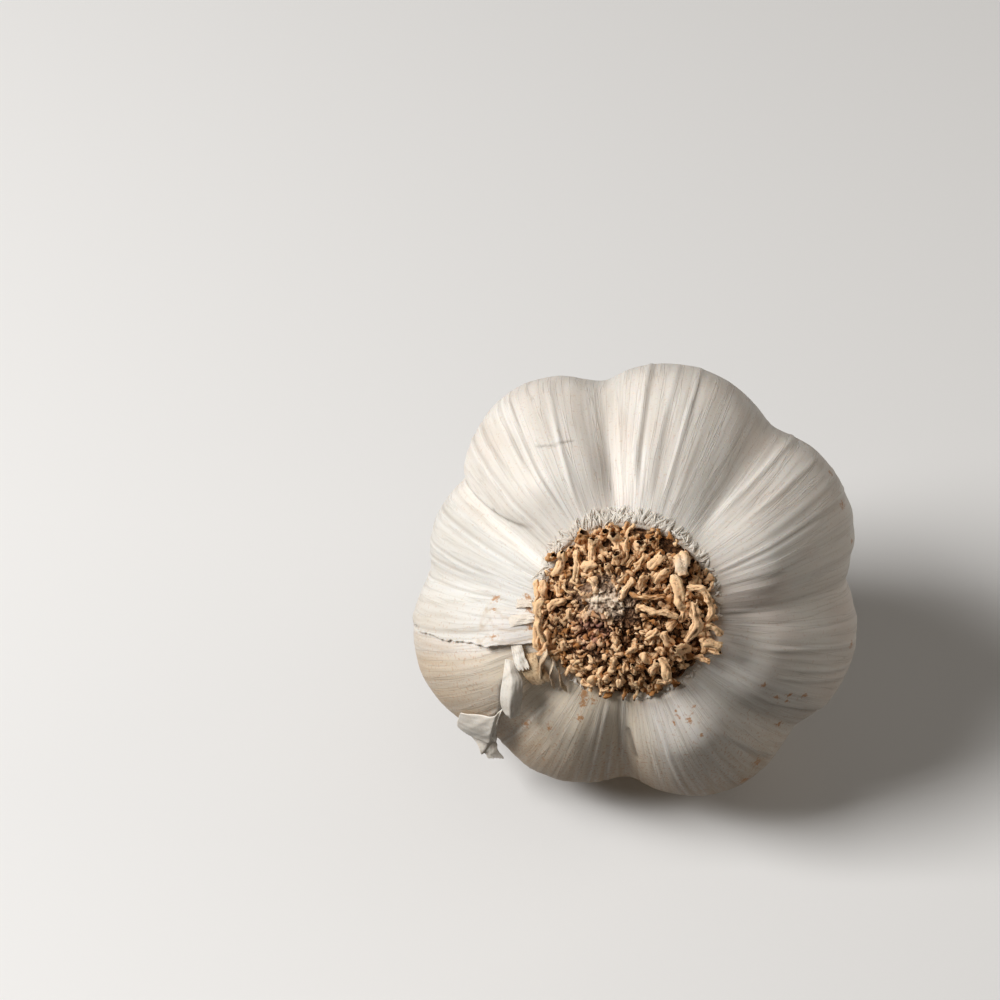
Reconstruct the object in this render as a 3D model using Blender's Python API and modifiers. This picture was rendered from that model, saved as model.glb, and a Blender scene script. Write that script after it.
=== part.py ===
"""A garlic bulb lying on its side, at rest on two cloves and the tip of its neck.

Every piece is modelled upright in the bulb's own frame: +Z out of the root end, the neck
down -Z, angles counter-clockwise as seen from the root end. One empty then lays it down.
"""

import math

import bmesh
import bpy
from mathutils import Euler, Matrix, Vector

MM = 0.001

# How the bulb lies: its root end points along -Y and is raised by the tilt.
REST_TILT_DEG = 32.23
REST_ROLL_DEG = 4.72
REST_HEIGHT = 39.94 * MM
REST_FORWARD = -25.08 * MM
REST_SIDEWAYS = -0.82 * MM

# The gap that touching pieces keep.
GAP = 0.3 * MM

# The head of the bulb: its outline from the middle of the root seat to the middle of the
# neck socket, as (radius, height) in mm.
OUTLINE = (
    (0.0, -2.8), (5.0, -2.8), (9.0, -2.8), (9.9, -2.0), (10.7, -0.7), (12.0, 0.0),
    (15.6, -1.5), (19.4, -3.9), (22.8, -7.0), (25.9, -10.8), (28.6, -15.4), (29.5, -19.6),
    (29.2, -24.6), (27.4, -30.6), (23.4, -36.6), (17.2, -41.9), (12.6, -45.2), (9.9, -48.4),
    (8.5, -50.9), (8.0, -51.2), (7.6, -50.7), (7.4, -48.4), (4.0, -48.2), (0.0, -48.2),
)
BELLY_RADIUS = 29.5 * MM
ROOT_RIM_RADIUS = 12.0 * MM
SHOULDER_RADIUS = 20.0 * MM
COLLAR_RADIUS = 10.0 * MM
RIM_SWELL = 0.12
BELLY_HEIGHT = -19.6 * MM

# The cloves under the skin: (angle in degrees, reach of the crown in mm, roundness as a share
# of that reach, lean). A clove with a positive lean is fuller towards the root end.
CLOVES = (
    (22.4, 32.1, 0.465, 0.09), (71.3, 30.9, 0.505, -0.11), (122.6, 31.3, 0.415, 0.23),
    (165.6, 28.8, 0.416, -0.23), (205.5, 32.8, 0.434, 0.05), (245.0, 30.9, 0.465, -0.06),
    (297.3, 32.9, 0.442, 0.12), (337.0, 32.8, 0.433, -0.13),
)
SKIN_SLACK = 0.8 * MM
LEAN_SHIFT = 5.0 * MM
BULB_SEGMENTS, BULB_RINGS = 80, 36

# The flat spots that the bulb rests on are cut by the ground.
GROUND_SIDE, GROUND_DEPTH = 0.2, 0.02

# The neck: the middle of the stalk as (x, y, z) and its radius at each point, in mm.
NECK_PATH = (
    ((0.0, 0.0, -48.6), 7.0), ((0.0, 0.0, -50.4), 6.9), ((0.1, -0.1, -52.6), 6.6),
    ((0.2, -0.2, -55.5), 5.9), ((0.4, -0.2, -59.0), 5.3), ((0.6, -0.1, -62.5), 4.9),
    ((0.9, 0.1, -66.0), 4.6), ((1.2, 0.3, -69.0), 4.5),
)
NECK_SIDES, NECK_RINGS = 28, 16
NECK_FLUTES, FLUTE_DEPTH = 7, 0.06

# The corky root plate, turned: (radius, height) in mm from the top of its boss to its foot.
PLATE_OUTLINE = (
    (0.0, 2.3), (1.4, 2.2), (2.5, 1.6), (3.1, 0.6), (3.5, -0.3), (8.4, -0.3),
    (8.7, -0.9), (8.6, -2.1), (8.2, -2.5), (0.0, -2.5),
)
PLATE_SIDES = 32

# The mat of short dried roots, a knobbly ring over the plate.
MAT_RADIUS, MAT_HALF_WIDTH, MAT_HALF_HEIGHT = 7.5 * MM, 3.8 * MM, 1.6 * MM
MAT_HEIGHT = 1.9 * MM
MAT_KNOBS, KNOB_DEPTH = 19, 0.13
MAT_SIDES = 12

# The longer dried roots: (name, thickness, points along the root), in mm.
ROOTS = (
    ("root_loop", 0.95, ((8.0, 4.2, 4.5), (9.7, 4.2, 4.9), (10.9, 3.0, 4.8), (11.3, 1.1, 4.4),
                         (10.8, -0.6, 4.0))),
    ("root_strand_upper", 1.4, ((6.4, 6.0, 4.3), (6.8, 4.3, 5.0), (7.2, 2.6, 5.3),
                                (7.8, 1.2, 5.2))),
    ("root_strand_middle", 1.3, ((8.9, 2.3, 4.6), (9.3, 0.7, 4.9), (9.2, -0.9, 5.0),
                                 (8.0, -3.3, 4.6))),
    ("root_strand_across", 0.9, ((0.4, 3.4, 4.3), (2.2, 2.9, 4.9), (4.2, 3.1, 5.0),
                                 (5.4, 2.9, 4.8))),
    ("root_strand_inner", 0.9, ((1.6, 1.5, 4.1), (3.2, 1.1, 4.8), (5.1, 0.8, 4.9),
                                (7.0, 0.3, 4.6))),
    ("root_hook", 0.95, ((10.0, -1.6, 3.9), (10.9, -1.2, 4.1), (12.1, -1.6, 3.9),
                         (12.8, -2.5, 3.4))),
    ("root_spur_right", 1.2, ((10.2, -3.2, 3.9), (11.2, -3.7, 3.8), (12.3, -4.3, 3.4))),
    ("root_spur_low", 1.3, ((4.6, -5.4, 4.3), (5.0, -6.8, 4.7), (5.7, -8.1, 4.4))),
    ("root_strand_left", 1.0, ((-11.2, 2.6, 4.0), (-11.8, 0.6, 3.9), (-11.7, -1.6, 3.6),
                               (-11.0, -3.8, 3.3))),
)
ROOT_STEPS = 4

# Torn flakes of the papery skin, at the dent on the lower left: (name, angle in degrees, place
# along the outline from 0 to 1, turn in degrees, length, width, curl radius and lift in mm).
FLAKES = (
    ("skin_tatter", 205.0, 0.256, 112.0, 6.2, 4.0, 16.0, 0.5),
    ("skin_curl", 204.5, 0.268, 58.0, 7.0, 2.6, 9.0, 1.1),
    ("skin_flap", 229.0, 0.401, -76.0, 6.8, 3.2, 12.0, 1.5),
    ("skin_scrap", 222.0, 0.444, 84.0, 6.0, 2.8, 7.5, 0.8),
)
FLAKE_THICKNESS = 0.3 * MM

COLOURS = {
    "papery_skin": ((0.80, 0.76, 0.70), 0.55),
    "dry_neck": ((0.66, 0.53, 0.38), 0.75),
    "corky_plate": ((0.50, 0.37, 0.24), 0.90),
    "dry_root": ((0.62, 0.42, 0.23), 0.85),
    "torn_skin": ((0.86, 0.83, 0.77), 0.60),
}


def clear_scene():
    for obj in list(bpy.data.objects):
        bpy.data.objects.remove(obj)


def new_collection(name):
    collection = bpy.data.collections.new(name)
    bpy.context.scene.collection.children.link(collection)
    return collection


def material(name):
    """A Principled material with the colour and roughness that COLOURS gives."""
    colour, roughness = COLOURS[name]
    made = bpy.data.materials.new(name)
    made.use_nodes = True
    shader = made.node_tree.nodes["Principled BSDF"]
    shader.inputs["Base Color"].default_value = (*colour, 1.0)
    shader.inputs["Roughness"].default_value = roughness
    shader.inputs["Metallic"].default_value = 0.0
    return made


def smooth_path(points, share):
    """The point at this share of a smooth curve through points, which are tuples of numbers."""
    spans = len(points) - 1
    place = min(max(share, 0.0), 1.0) * spans
    span = min(int(place), spans - 1)
    t = place - span
    before = points[max(span - 1, 0)]
    start, end = points[span], points[span + 1]
    after = points[min(span + 2, spans)]
    return tuple(
        b + 0.5 * t * (c - a + t * (2 * a - 5 * b + 4 * c - d + t * (3 * (b - c) + d - a)))
        for a, b, c, d in zip(before, start, end, after)
    )


def smoothstep(low, high, value):
    t = min(max((value - low) / (high - low), 0.0), 1.0)
    return t * t * (3 - 2 * t)


def clove_reaches(angle):
    """How far each clove's round side reaches at this angle about the axis."""
    reaches = []
    for degrees, crown, roundness, _ in CLOVES:
        crown *= MM
        round_radius = roundness * crown
        middle = crown - round_radius
        turn = math.remainder(angle - math.radians(degrees), 2 * math.pi)
        sideways = middle * math.sin(turn)
        inside = math.cos(turn) > 0 and abs(sideways) < round_radius
        bulge = math.sqrt(round_radius**2 - sideways**2) if inside else -0.2 * round_radius
        reaches.append(middle * math.cos(turn) + bulge)
    return reaches


def swelling(angle, height):
    """How far the skin stands out past the turned outline: cloves joined by slack skin."""
    reaches = clove_reaches(angle)
    weights = [math.exp((reach - BELLY_RADIUS) / SKIN_SLACK) for reach in reaches]
    total = sum(weights)
    reach = BELLY_RADIUS + SKIN_SLACK * math.log(total)
    lean = sum(weight * clove[3] for weight, clove in zip(weights, CLOVES)) / total
    towards_root = (height - BELLY_HEIGHT) / BELLY_RADIUS
    return (reach - BELLY_RADIUS) + lean * towards_root * LEAN_SHIFT


def skin_point(angle, share):
    """A point of the skin: share runs from 0 at the root end's middle to 1 at the neck's."""
    step = 0.002
    radius, height = (MM * v for v in smooth_path(OUTLINE, share))
    before = smooth_path(OUTLINE, share - step)
    after = smooth_path(OUTLINE, share + step)
    along = Vector((after[0] - before[0], after[1] - before[1])).normalized()
    out_radius, out_height = -along.y, along.x
    if height > BELLY_HEIGHT:
        fade = RIM_SWELL * smoothstep(ROOT_RIM_RADIUS, ROOT_RIM_RADIUS + 1.0 * MM, radius)
        fade += (1.0 - RIM_SWELL) * smoothstep(ROOT_RIM_RADIUS, SHOULDER_RADIUS, radius)
    else:
        fade = max(radius - COLLAR_RADIUS, 0.0) / (BELLY_RADIUS - COLLAR_RADIUS)
        fade = fade**0.8
    swell = fade * swelling(angle, height)
    radius += out_radius * swell
    height += out_height * swell
    return Vector((radius * math.cos(angle), radius * math.sin(angle), height))


def add_object(name, data, collection, parent, finish):
    obj = bpy.data.objects.new(name, data)
    collection.objects.link(obj)
    obj.parent = parent
    data.materials.append(finish)
    return obj


def mesh_of(bm, name):
    """The bmesh as a smooth-shaded mesh, which ends the bmesh."""
    bmesh.ops.recalc_face_normals(bm, faces=bm.faces)
    mesh = bpy.data.meshes.new(name)
    bm.to_mesh(mesh)
    bm.free()
    mesh.shade_smooth()
    return mesh


def make_bulb(collection, parent, finish):
    """The head: a sphere whose points are moved onto the skin."""
    bm = bmesh.new()
    bmesh.ops.create_uvsphere(bm, u_segments=BULB_SEGMENTS, v_segments=BULB_RINGS, radius=1.0)
    for vert in bm.verts:
        angle = math.atan2(vert.co.y, vert.co.x)
        share = math.acos(min(max(vert.co.z, -1.0), 1.0)) / math.pi
        vert.co = skin_point(angle, share)
    return add_object("bulb", mesh_of(bm, "bulb"), collection, parent, finish)


def make_neck(collection, parent, finish):
    """The dried stalk: a cylinder whose rings follow NECK_PATH."""
    bm = bmesh.new()
    bmesh.ops.create_cone(
        bm, cap_ends=True, segments=NECK_SIDES, radius1=1.0, radius2=1.0, depth=1.0
    )
    sides = [edge for edge in bm.edges if abs(edge.verts[0].co.z - edge.verts[1].co.z) > 0.5]
    bmesh.ops.subdivide_edges(bm, edges=sides, cuts=NECK_RINGS, use_grid_fill=False)
    rows = [(*point, radius) for point, radius in NECK_PATH]
    for vert in bm.verts:
        x, y, z, radius = smooth_path(rows, 0.5 - vert.co.z)
        angle = math.atan2(vert.co.y, vert.co.x)
        radius *= 1.0 - FLUTE_DEPTH * (0.5 + 0.5 * math.cos(NECK_FLUTES * angle))
        vert.co = MM * Vector((x + radius * vert.co.x, y + radius * vert.co.y, z))
    return add_object("neck", mesh_of(bm, "neck"), collection, parent, finish)


def make_plate(collection, parent, finish):
    """The root plate, turned about the axis with a Screw modifier."""
    bm = bmesh.new()
    corners = [bm.verts.new((MM * radius, 0.0, MM * height)) for radius, height in PLATE_OUTLINE]
    for start, end in zip(corners, corners[1:]):
        bm.edges.new((start, end))
    mesh = bpy.data.meshes.new("root_plate")
    bm.to_mesh(mesh)
    bm.free()
    plate = add_object("root_plate", mesh, collection, parent, finish)
    turn = plate.modifiers.new("turn", "SCREW")
    turn.steps = turn.render_steps = PLATE_SIDES
    turn.use_merge_vertices = True
    turn.merge_threshold = 0.01 * MM
    turn.use_smooth_shade = True
    return plate


def make_mat(collection, parent, finish):
    """The mat of short roots: a torus, flattened, with two rows of knobs."""
    bpy.ops.mesh.primitive_torus_add(
        major_segments=3 * MAT_KNOBS,
        minor_segments=MAT_SIDES,
        major_radius=1.0,
        minor_radius=0.25,
    )
    mat = bpy.context.object
    mat.name = mat.data.name = "root_mat"
    for vert in mat.data.vertices:
        angle = math.atan2(vert.co.y, vert.co.x)
        across = (math.hypot(vert.co.x, vert.co.y) - 1.0) / 0.25
        up = vert.co.z / 0.25
        knob = 1.0 + KNOB_DEPTH * math.sin(MAT_KNOBS * angle) * (1.0 if across > 0 else -1.0)
        radius = MAT_RADIUS + MAT_HALF_WIDTH * across * knob
        height = MAT_HEIGHT + MAT_HALF_HEIGHT * up * (knob if up > 0 else 1.0)
        vert.co = (radius * math.cos(angle), radius * math.sin(angle), height)
    for old in list(mat.users_collection):
        old.objects.unlink(mat)
    collection.objects.link(mat)
    mat.parent = parent
    mat.data.materials.append(finish)
    mat.data.shade_smooth()
    return mat


def make_root(name, thickness, points, collection, parent, finish):
    """A dried root: a round tube along a smooth curve through its points."""
    curve = bpy.data.curves.new(name, "CURVE")
    curve.dimensions = "3D"
    curve.bevel_depth = thickness * MM / 2
    curve.bevel_resolution = 2
    curve.use_fill_caps = True
    spline = curve.splines.new("POLY")
    count = ROOT_STEPS * (len(points) - 1) + 1
    spline.points.add(count - 1)
    for index, place in enumerate(spline.points):
        share = index / (count - 1)
        place.co = (*(MM * v for v in smooth_path(points, share)), 1.0)
        place.radius = 1.0 - 0.35 * share
    return add_object(name, curve, collection, parent, finish)


def make_flake(name, angle_deg, share, turn_deg, sizes, collection, parent, finish):
    """A torn flake of skin: a bent sheet with Solidify, standing clear of the bulb."""
    length, width, curl, lift = (MM * size for size in sizes)
    bm = bmesh.new()
    bmesh.ops.create_grid(bm, x_segments=2, y_segments=7, size=0.5)
    for vert in bm.verts:
        along = vert.co.y + 0.5
        bend = along * length / curl
        narrow = 1.0 - 0.45 * along
        vert.co = (vert.co.x * width * narrow, curl * math.sin(bend), curl * (1 - math.cos(bend)))
    flake = add_object(name, mesh_of(bm, name), collection, parent, finish)
    wall = flake.modifiers.new("thickness", "SOLIDIFY")
    wall.thickness = FLAKE_THICKNESS
    wall.offset = 1.0
    angle = math.radians(angle_deg)
    here = skin_point(angle, share)
    down = (skin_point(angle, share + 0.01) - here).normalized()
    side = (skin_point(angle + 0.02, share) - here).normalized()
    out = down.cross(side).normalized()
    across = down.cross(out)
    frame = Matrix((across, down, out)).transposed()
    spin = Matrix.Rotation(math.radians(turn_deg), 3, "Z")
    flake.matrix_local = (frame @ spin).to_4x4()
    flake.location = here + lift * out
    return flake


def make_ground(collection):
    """The cutter that gives the bulb and its neck their flat spots."""
    bm = bmesh.new()
    bmesh.ops.create_cube(bm, size=1.0)
    bmesh.ops.scale(bm, vec=(GROUND_SIDE, GROUND_SIDE, GROUND_DEPTH), verts=bm.verts)
    bmesh.ops.translate(bm, vec=(0.0, 0.0, -GROUND_DEPTH / 2), verts=bm.verts)
    ground = bpy.data.objects.new("ground_cutter", mesh_of(bm, "ground_cutter"))
    collection.objects.link(ground)
    ground.hide_render = True
    ground.display_type = "WIRE"
    return ground


def rest_on(ground, obj):
    flat = obj.modifiers.new("flat_spot", "BOOLEAN")
    flat.operation = "DIFFERENCE"
    flat.solver = "EXACT"
    flat.object = ground


def lying_empty(collection):
    """The empty that lays the upright bulb on its side."""
    empty = bpy.data.objects.new("lying_bulb", None)
    collection.objects.link(empty)
    lay_down = Euler((math.radians(90.0 - REST_TILT_DEG), 0.0, 0.0)).to_matrix()
    roll = Matrix.Rotation(math.radians(REST_ROLL_DEG), 3, "Z")
    empty.rotation_euler = (lay_down @ roll).to_euler()
    empty.location = (REST_SIDEWAYS, REST_FORWARD, REST_HEIGHT)
    return empty


def main():
    clear_scene()
    parts = new_collection("garlic_bulb")
    cutters = new_collection("cutters")
    cutters.hide_render = True
    finishes = {name: material(name) for name in COLOURS}
    lying = lying_empty(parts)
    ground = make_ground(cutters)
    bulb = make_bulb(parts, lying, finishes["papery_skin"])
    neck = make_neck(parts, lying, finishes["dry_neck"])
    for obj in (bulb, neck):
        rest_on(ground, obj)
    make_plate(parts, lying, finishes["corky_plate"])
    make_mat(parts, lying, finishes["dry_root"])
    for name, thickness, points in ROOTS:
        make_root(name, thickness, points, parts, lying, finishes["dry_root"])
    for name, angle, share, turn, *sizes in FLAKES:
        make_flake(name, angle, share, turn, sizes, parts, lying, finishes["torn_skin"])


main()
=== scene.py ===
# %% [markdown]
# # A garlic bulb lying on its side
#
# A bulb of garlic is a ring of cloves wrapped in dry, papery skin. The stalk dries to a short
# tan neck, and the roots dry to a crusty mat round a corky plate. The parts' places and sizes
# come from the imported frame, and this script gives them their look.

# %% Load the frame
import math

import bpy
import numpy as np
from mathutils import Matrix, Vector, noise


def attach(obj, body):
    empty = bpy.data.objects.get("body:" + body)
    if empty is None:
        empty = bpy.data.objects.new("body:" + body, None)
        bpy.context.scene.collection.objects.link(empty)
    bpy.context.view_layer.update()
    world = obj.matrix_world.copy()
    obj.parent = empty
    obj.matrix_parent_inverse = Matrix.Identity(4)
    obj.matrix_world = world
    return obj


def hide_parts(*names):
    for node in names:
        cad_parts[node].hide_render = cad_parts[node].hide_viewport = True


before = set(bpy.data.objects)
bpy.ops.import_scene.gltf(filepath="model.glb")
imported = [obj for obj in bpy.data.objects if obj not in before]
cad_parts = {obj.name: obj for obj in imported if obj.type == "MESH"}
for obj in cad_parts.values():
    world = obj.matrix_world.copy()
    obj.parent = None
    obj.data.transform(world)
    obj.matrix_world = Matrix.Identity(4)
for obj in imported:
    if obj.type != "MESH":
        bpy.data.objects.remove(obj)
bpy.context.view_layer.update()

MM = 0.001
# Blender's vector noise starts from the time of day unless it has a seed.
NOISE_SEED = 5
noise.seed_set(NOISE_SEED)
print("frame nodes:", len(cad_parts))

# %% [markdown]
# ## How the bulb lies
#
# Everything is shaped upright, as a botanist would draw it upside down: +Z out of the root
# end, angles counter-clockwise as seen from there. One matrix then lays it on its side, on
# two cloves and the tip of its neck, exactly where the frame has it.

# %% The lying matrix
TILT_DEG, ROLL_DEG = 32.23, 4.72
ROOT_END = Vector((-0.82, -25.08, 39.94)) * MM
LIE_DOWN = (
    Matrix.Translation(ROOT_END)
    @ Matrix.Rotation(math.radians(90.0 - TILT_DEG), 4, "X")
    @ Matrix.Rotation(math.radians(ROLL_DEG), 4, "Z")
)


def laid_down(points):
    """Upright points in mm, as an array, turned into world places in metres."""
    matrix = np.array(LIE_DOWN)
    places = (points * MM) @ matrix[:3, :3].T + matrix[:3, 3]
    places[:, 2] = np.maximum(places[:, 2], 0.0)
    return places


# %% [markdown]
# ## The shape of the skin
#
# The skin is a turned outline that eight round cloves push out. Each clove is a circle seen
# from the root end, and slack skin joins neighbouring circles softly. Written as a formula,
# the shape can be asked for any point, which later lets creases, flakes and roots sit on it.

# %% Outline and cloves
OUTLINE = (
    (0.0, -2.8), (5.0, -2.8), (9.0, -2.8), (9.9, -2.0), (10.7, -0.7), (12.0, 0.0),
    (15.6, -1.5), (19.4, -3.9), (22.8, -7.0), (25.9, -10.8), (28.6, -15.4), (29.5, -19.6),
    (29.2, -24.6), (27.4, -30.6), (23.4, -36.6), (17.2, -41.9), (12.6, -45.2), (9.9, -48.4),
    (8.2, -51.0), (7.3, -53.4), (6.8, -54.4), (6.2, -54.0), (4.0, -51.0), (0.0, -50.6),
)
CLOVES = (
    (22.4, 32.1, 0.465, 0.09), (71.3, 30.9, 0.505, -0.11), (122.6, 31.3, 0.415, 0.23),
    (165.6, 28.8, 0.416, -0.23), (205.5, 32.8, 0.434, 0.05), (245.0, 30.9, 0.465, -0.06),
    (297.3, 32.9, 0.442, 0.12), (337.0, 32.8, 0.433, -0.13),
)
BELLY_RADIUS, BELLY_HEIGHT = 29.5, -19.6
RIM_RADIUS, SHOULDER_RADIUS, COLLAR_RADIUS = 12.0, 20.0, 10.0
RIM_SWELL, SKIN_SLACK, LEAN_SHIFT = 0.12, 0.8, 5.0
SKIN_LENGTH = 92.0


def smooth_rows(rows, share):
    """Rows of numbers read at these shares, 0 to 1, along a smooth curve through them."""
    rows = np.asarray(rows, float)
    spans = len(rows) - 1
    place = np.clip(np.asarray(share, float), 0.0, 1.0) * spans
    span = np.minimum(place.astype(int), spans - 1)
    t = (place - span)[..., None]
    a, b, c, d = (rows[np.clip(span + step, 0, spans)] for step in (-1, 0, 1, 2))
    return b + 0.5 * t * (c - a + t * (2 * a - 5 * b + 4 * c - d + t * (3 * (b - c) + d - a)))


def smoothstep(low, high, value):
    t = np.clip((np.asarray(value, float) - low) / (high - low), 0.0, 1.0)
    return t * t * (3.0 - 2.0 * t)


def band(start, full, fading, end, value):
    """1 between full and fading, 0 before the start and past the end, smooth in between."""
    return smoothstep(start, full, value) * (1.0 - smoothstep(fading, end, value))


def turned(angle):
    """An angle in radians brought to between -pi and pi."""
    return (angle + math.pi) % (2.0 * math.pi) - math.pi


def round_axis(angle, radius, height):
    """Points at these angles, radii and heights."""
    return np.stack([radius * np.cos(angle), radius * np.sin(angle), height], axis=-1)


def swelling(angle, height):
    """How far, in mm, the cloves push the skin out past the turned outline."""
    total, leaning = 0.0, 0.0
    for degrees, crown, roundness, lean in CLOVES:
        round_radius = roundness * crown
        middle = crown - round_radius
        turn = turned(angle - math.radians(degrees))
        sideways = middle * np.sin(turn)
        inside = (np.cos(turn) > 0) & (np.abs(sideways) < round_radius)
        bulge = np.sqrt(np.maximum(round_radius**2 - sideways**2, 0.0))
        reach = middle * np.cos(turn) + np.where(inside, bulge, -0.2 * round_radius)
        weight = np.exp((reach - BELLY_RADIUS) / SKIN_SLACK)
        total = total + weight
        leaning = leaning + weight * lean
    towards_root = (height - BELLY_HEIGHT) / BELLY_RADIUS
    return SKIN_SLACK * np.log(total) + leaning / total * towards_root * LEAN_SHIFT


def smooth_skin(angle, share):
    """Upright points in mm of the skin before any crease."""
    step = 0.002
    radius, height = np.moveaxis(smooth_rows(OUTLINE, share), -1, 0)
    along = smooth_rows(OUTLINE, share + step) - smooth_rows(OUTLINE, share - step)
    along = along / np.maximum(np.linalg.norm(along, axis=-1, keepdims=True), 1e-9)
    towards_root = RIM_SWELL * smoothstep(RIM_RADIUS, RIM_RADIUS + 1.0, radius)
    towards_root += (1.0 - RIM_SWELL) * smoothstep(RIM_RADIUS, SHOULDER_RADIUS, radius)
    towards_neck = np.clip((radius - COLLAR_RADIUS) / (BELLY_RADIUS - COLLAR_RADIUS), 0, None)
    fade = np.where(height > BELLY_HEIGHT, towards_root, towards_neck**0.8)
    swell = fade * swelling(angle, height)
    radius = radius - along[..., 1] * swell
    height = height + along[..., 0] * swell
    return round_axis(angle, radius, height)


def unit(vectors):
    return vectors / np.maximum(np.linalg.norm(vectors, axis=-1, keepdims=True), 1e-12)


def skin_frame(angle, share):
    """Points of the smooth skin, the directions straight out of it, and their radii."""
    angle, share = np.broadcast_arrays(np.asarray(angle, float), np.asarray(share, float))
    here = smooth_skin(angle, share)
    side = unit(smooth_skin(angle + 0.004, share) - smooth_skin(angle - 0.004, share))
    down = unit(smooth_skin(angle, share + 0.002) - smooth_skin(angle, share - 0.002))
    return here, unit(np.cross(down, side)), np.hypot(here[:, 0], here[:, 1])


# %% [markdown]
# ## What lies on the skin
#
# Dry skin isn't smooth. Fibres stand up as fine lines that run from the roots to the neck,
# and where the skin was slack it dried in pleats. Some lines are there by chance, so they
# come from seeded random numbers. A few are marks of this very bulb, such as the fold where
# one clove's skin laps over the next, so they are drawn as lines on the skin.

# %% Waves, fibres and drawn lines
def waves(angle, share, seed, around, along, count=16):
    """Gentle random hills between about -1 and 1, with up to this many round and along."""
    rng = np.random.default_rng(seed)
    total = 0.0
    for _ in range(count):
        turns = int(rng.integers(-around, around + 1))
        rise = rng.uniform(-along, along)
        phase = rng.uniform(0.0, 2.0 * math.pi)
        total = total + np.cos(turns * angle + 2.0 * math.pi * rise * share + phase)
    return total / math.sqrt(count)


FIBRE_COUNT = 170


def fibres(angle, share, radius):
    """Raised fibres: their height in mm, how pale they are, and the painted shade beside them."""
    rng = np.random.default_rng(11)
    height, pale, shade = (np.zeros(np.shape(angle)) for _ in range(3))
    for index in range(FIBRE_COUNT):
        middle = 2.0 * math.pi * (index + rng.uniform(-0.4, 0.4)) / FIBRE_COUNT
        wander, phase = rng.uniform(-0.02, 0.02), rng.uniform(0.0, 6.0)
        start = rng.uniform(0.17, 0.33)
        end = start + rng.uniform(0.12, 0.55)
        strength = rng.choice([0.12, 0.35, 1.0], p=[0.58, 0.32, 0.10])
        width = rng.uniform(0.2, 0.34)
        line = middle + wander * np.sin(9.0 * share + phase)
        away = turned(angle - line) * radius
        ends = band(start, start + 0.05, end - 0.09, end, share)
        ridge = strength * ends * np.exp(-((away / width) ** 2))
        # The groove beside each fibre also gets painted shade.
        groove = strength * ends * np.exp(-(((away + 1.7 * width) / width) ** 2))
        height += 0.10 * ridge - 0.06 * groove
        pale += ridge
        shade += groove
    return height, pale, shade


def from_line(angle, share, radius, points):
    """Signed distance in mm from a drawn line of (share, degrees), + counter-clockwise."""
    nearest = np.full(np.shape(angle), 1e6)
    side = np.ones(np.shape(angle))
    for (share_a, degrees_a), (share_b, degrees_b) in zip(points, points[1:]):
        across = turned(angle - math.radians(degrees_a)) * radius
        down = (share - share_a) * SKIN_LENGTH
        step_across = math.radians(degrees_b - degrees_a) * radius
        step_down = (share_b - share_a) * SKIN_LENGTH
        length = step_across**2 + step_down**2
        t = np.clip((across * step_across + down * step_down) / length, 0.0, 1.0)
        off_across, off_down = across - t * step_across, down - t * step_down
        distance = np.hypot(off_across, off_down)
        closer = distance < nearest
        nearest = np.where(closer, distance, nearest)
        turn = np.sign(off_across * step_down - off_down * step_across)
        side = np.where(closer, turn, side)
    return nearest * np.where(side == 0, 1.0, side)


# Drawn lines: (height, half width and carry in mm, high side, points as (share, degrees)).
# With a high side of 1 or -1 the skin is a step, high counter-clockwise or clockwise of the
# line; with 0 it is a ridge, or a groove where the height is negative.
STEPS = (
    (1.0, 0.28, 7.0, -1, ((0.262, 137.0), (0.28, 140.5), (0.296, 143.0), (0.341, 146.0),
                          (0.404, 147.5), (0.46, 145.0), (0.58, 143.5), (0.72, 143.0))),
    (0.55, 0.18, 5.0, -1, ((0.255, 205.5), (0.285, 209.5), (0.315, 218.5), (0.356, 222.0),
                           (0.40, 226.0), (0.45, 229.0), (0.54, 230.0))),
    (0.45, 0.24, 4.0, 1, ((0.272, 327.0), (0.303, 325.0), (0.341, 324.5), (0.406, 326.0),
                          (0.5, 327.0), (0.62, 328.0))),
    (0.28, 0.24, 3.0, 1, ((0.296, 305.5), (0.341, 307.5), (0.399, 308.5), (0.46, 311.0))),
    (0.30, 0.24, 3.0, 1, ((0.24, 85.0), (0.323, 86.0), (0.469, 84.5), (0.6, 84.0))),
    (0.22, 0.24, 2.6, 1, ((0.25, 80.5), (0.308, 80.0), (0.426, 78.0), (0.56, 77.0))),
)
RIDGES = (
    (0.20, 0.26, ((0.255, 343.0), (0.346, 345.0), (0.401, 345.5), (0.52, 345.5))),
    (0.17, 0.24, ((0.30, 337.0), (0.326, 338.0), (0.404, 339.0), (0.50, 341.0))),
    (0.17, 0.24, ((0.30, 334.0), (0.379, 335.5), (0.48, 338.0))),
    (0.16, 0.24, ((0.25, 72.5), (0.306, 73.0), (0.466, 72.5), (0.58, 72.0))),
    (0.22, 0.28, ((0.26, 46.5), (0.32, 45.0), (0.469, 42.5), (0.60, 41.0))),
    (0.14, 0.24, ((0.27, 38.0), (0.35, 36.5), (0.50, 34.5))),
    (0.16, 0.24, ((0.226, 116.0), (0.266, 115.0), (0.301, 114.0), (0.40, 112.5), (0.5, 112.0))),
    (-0.14, 0.16, ((0.349, 120.0), (0.342, 115.0), (0.344, 109.0))),
    (-0.40, 0.20, ((0.286, 270.0), (0.323, 271.5), (0.345, 272.5))),
    (-0.22, 0.20, ((0.344, 145.0), (0.323, 146.6))),
)


# Where the skin dried slack, in radians round the axis. The low pleats reach only the pieces
# whose angles are given from 0 to 2 pi, such as the flakes: the skin's own angles run from
# -pi to pi, so it has none of them.
LOW_PLEATS = (4.05, 4.2, 4.6, 4.75)
RIGHT_PLEATS_AT, RIGHT_PLEATS_SPREAD = math.radians(2.0), 0.30


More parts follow.
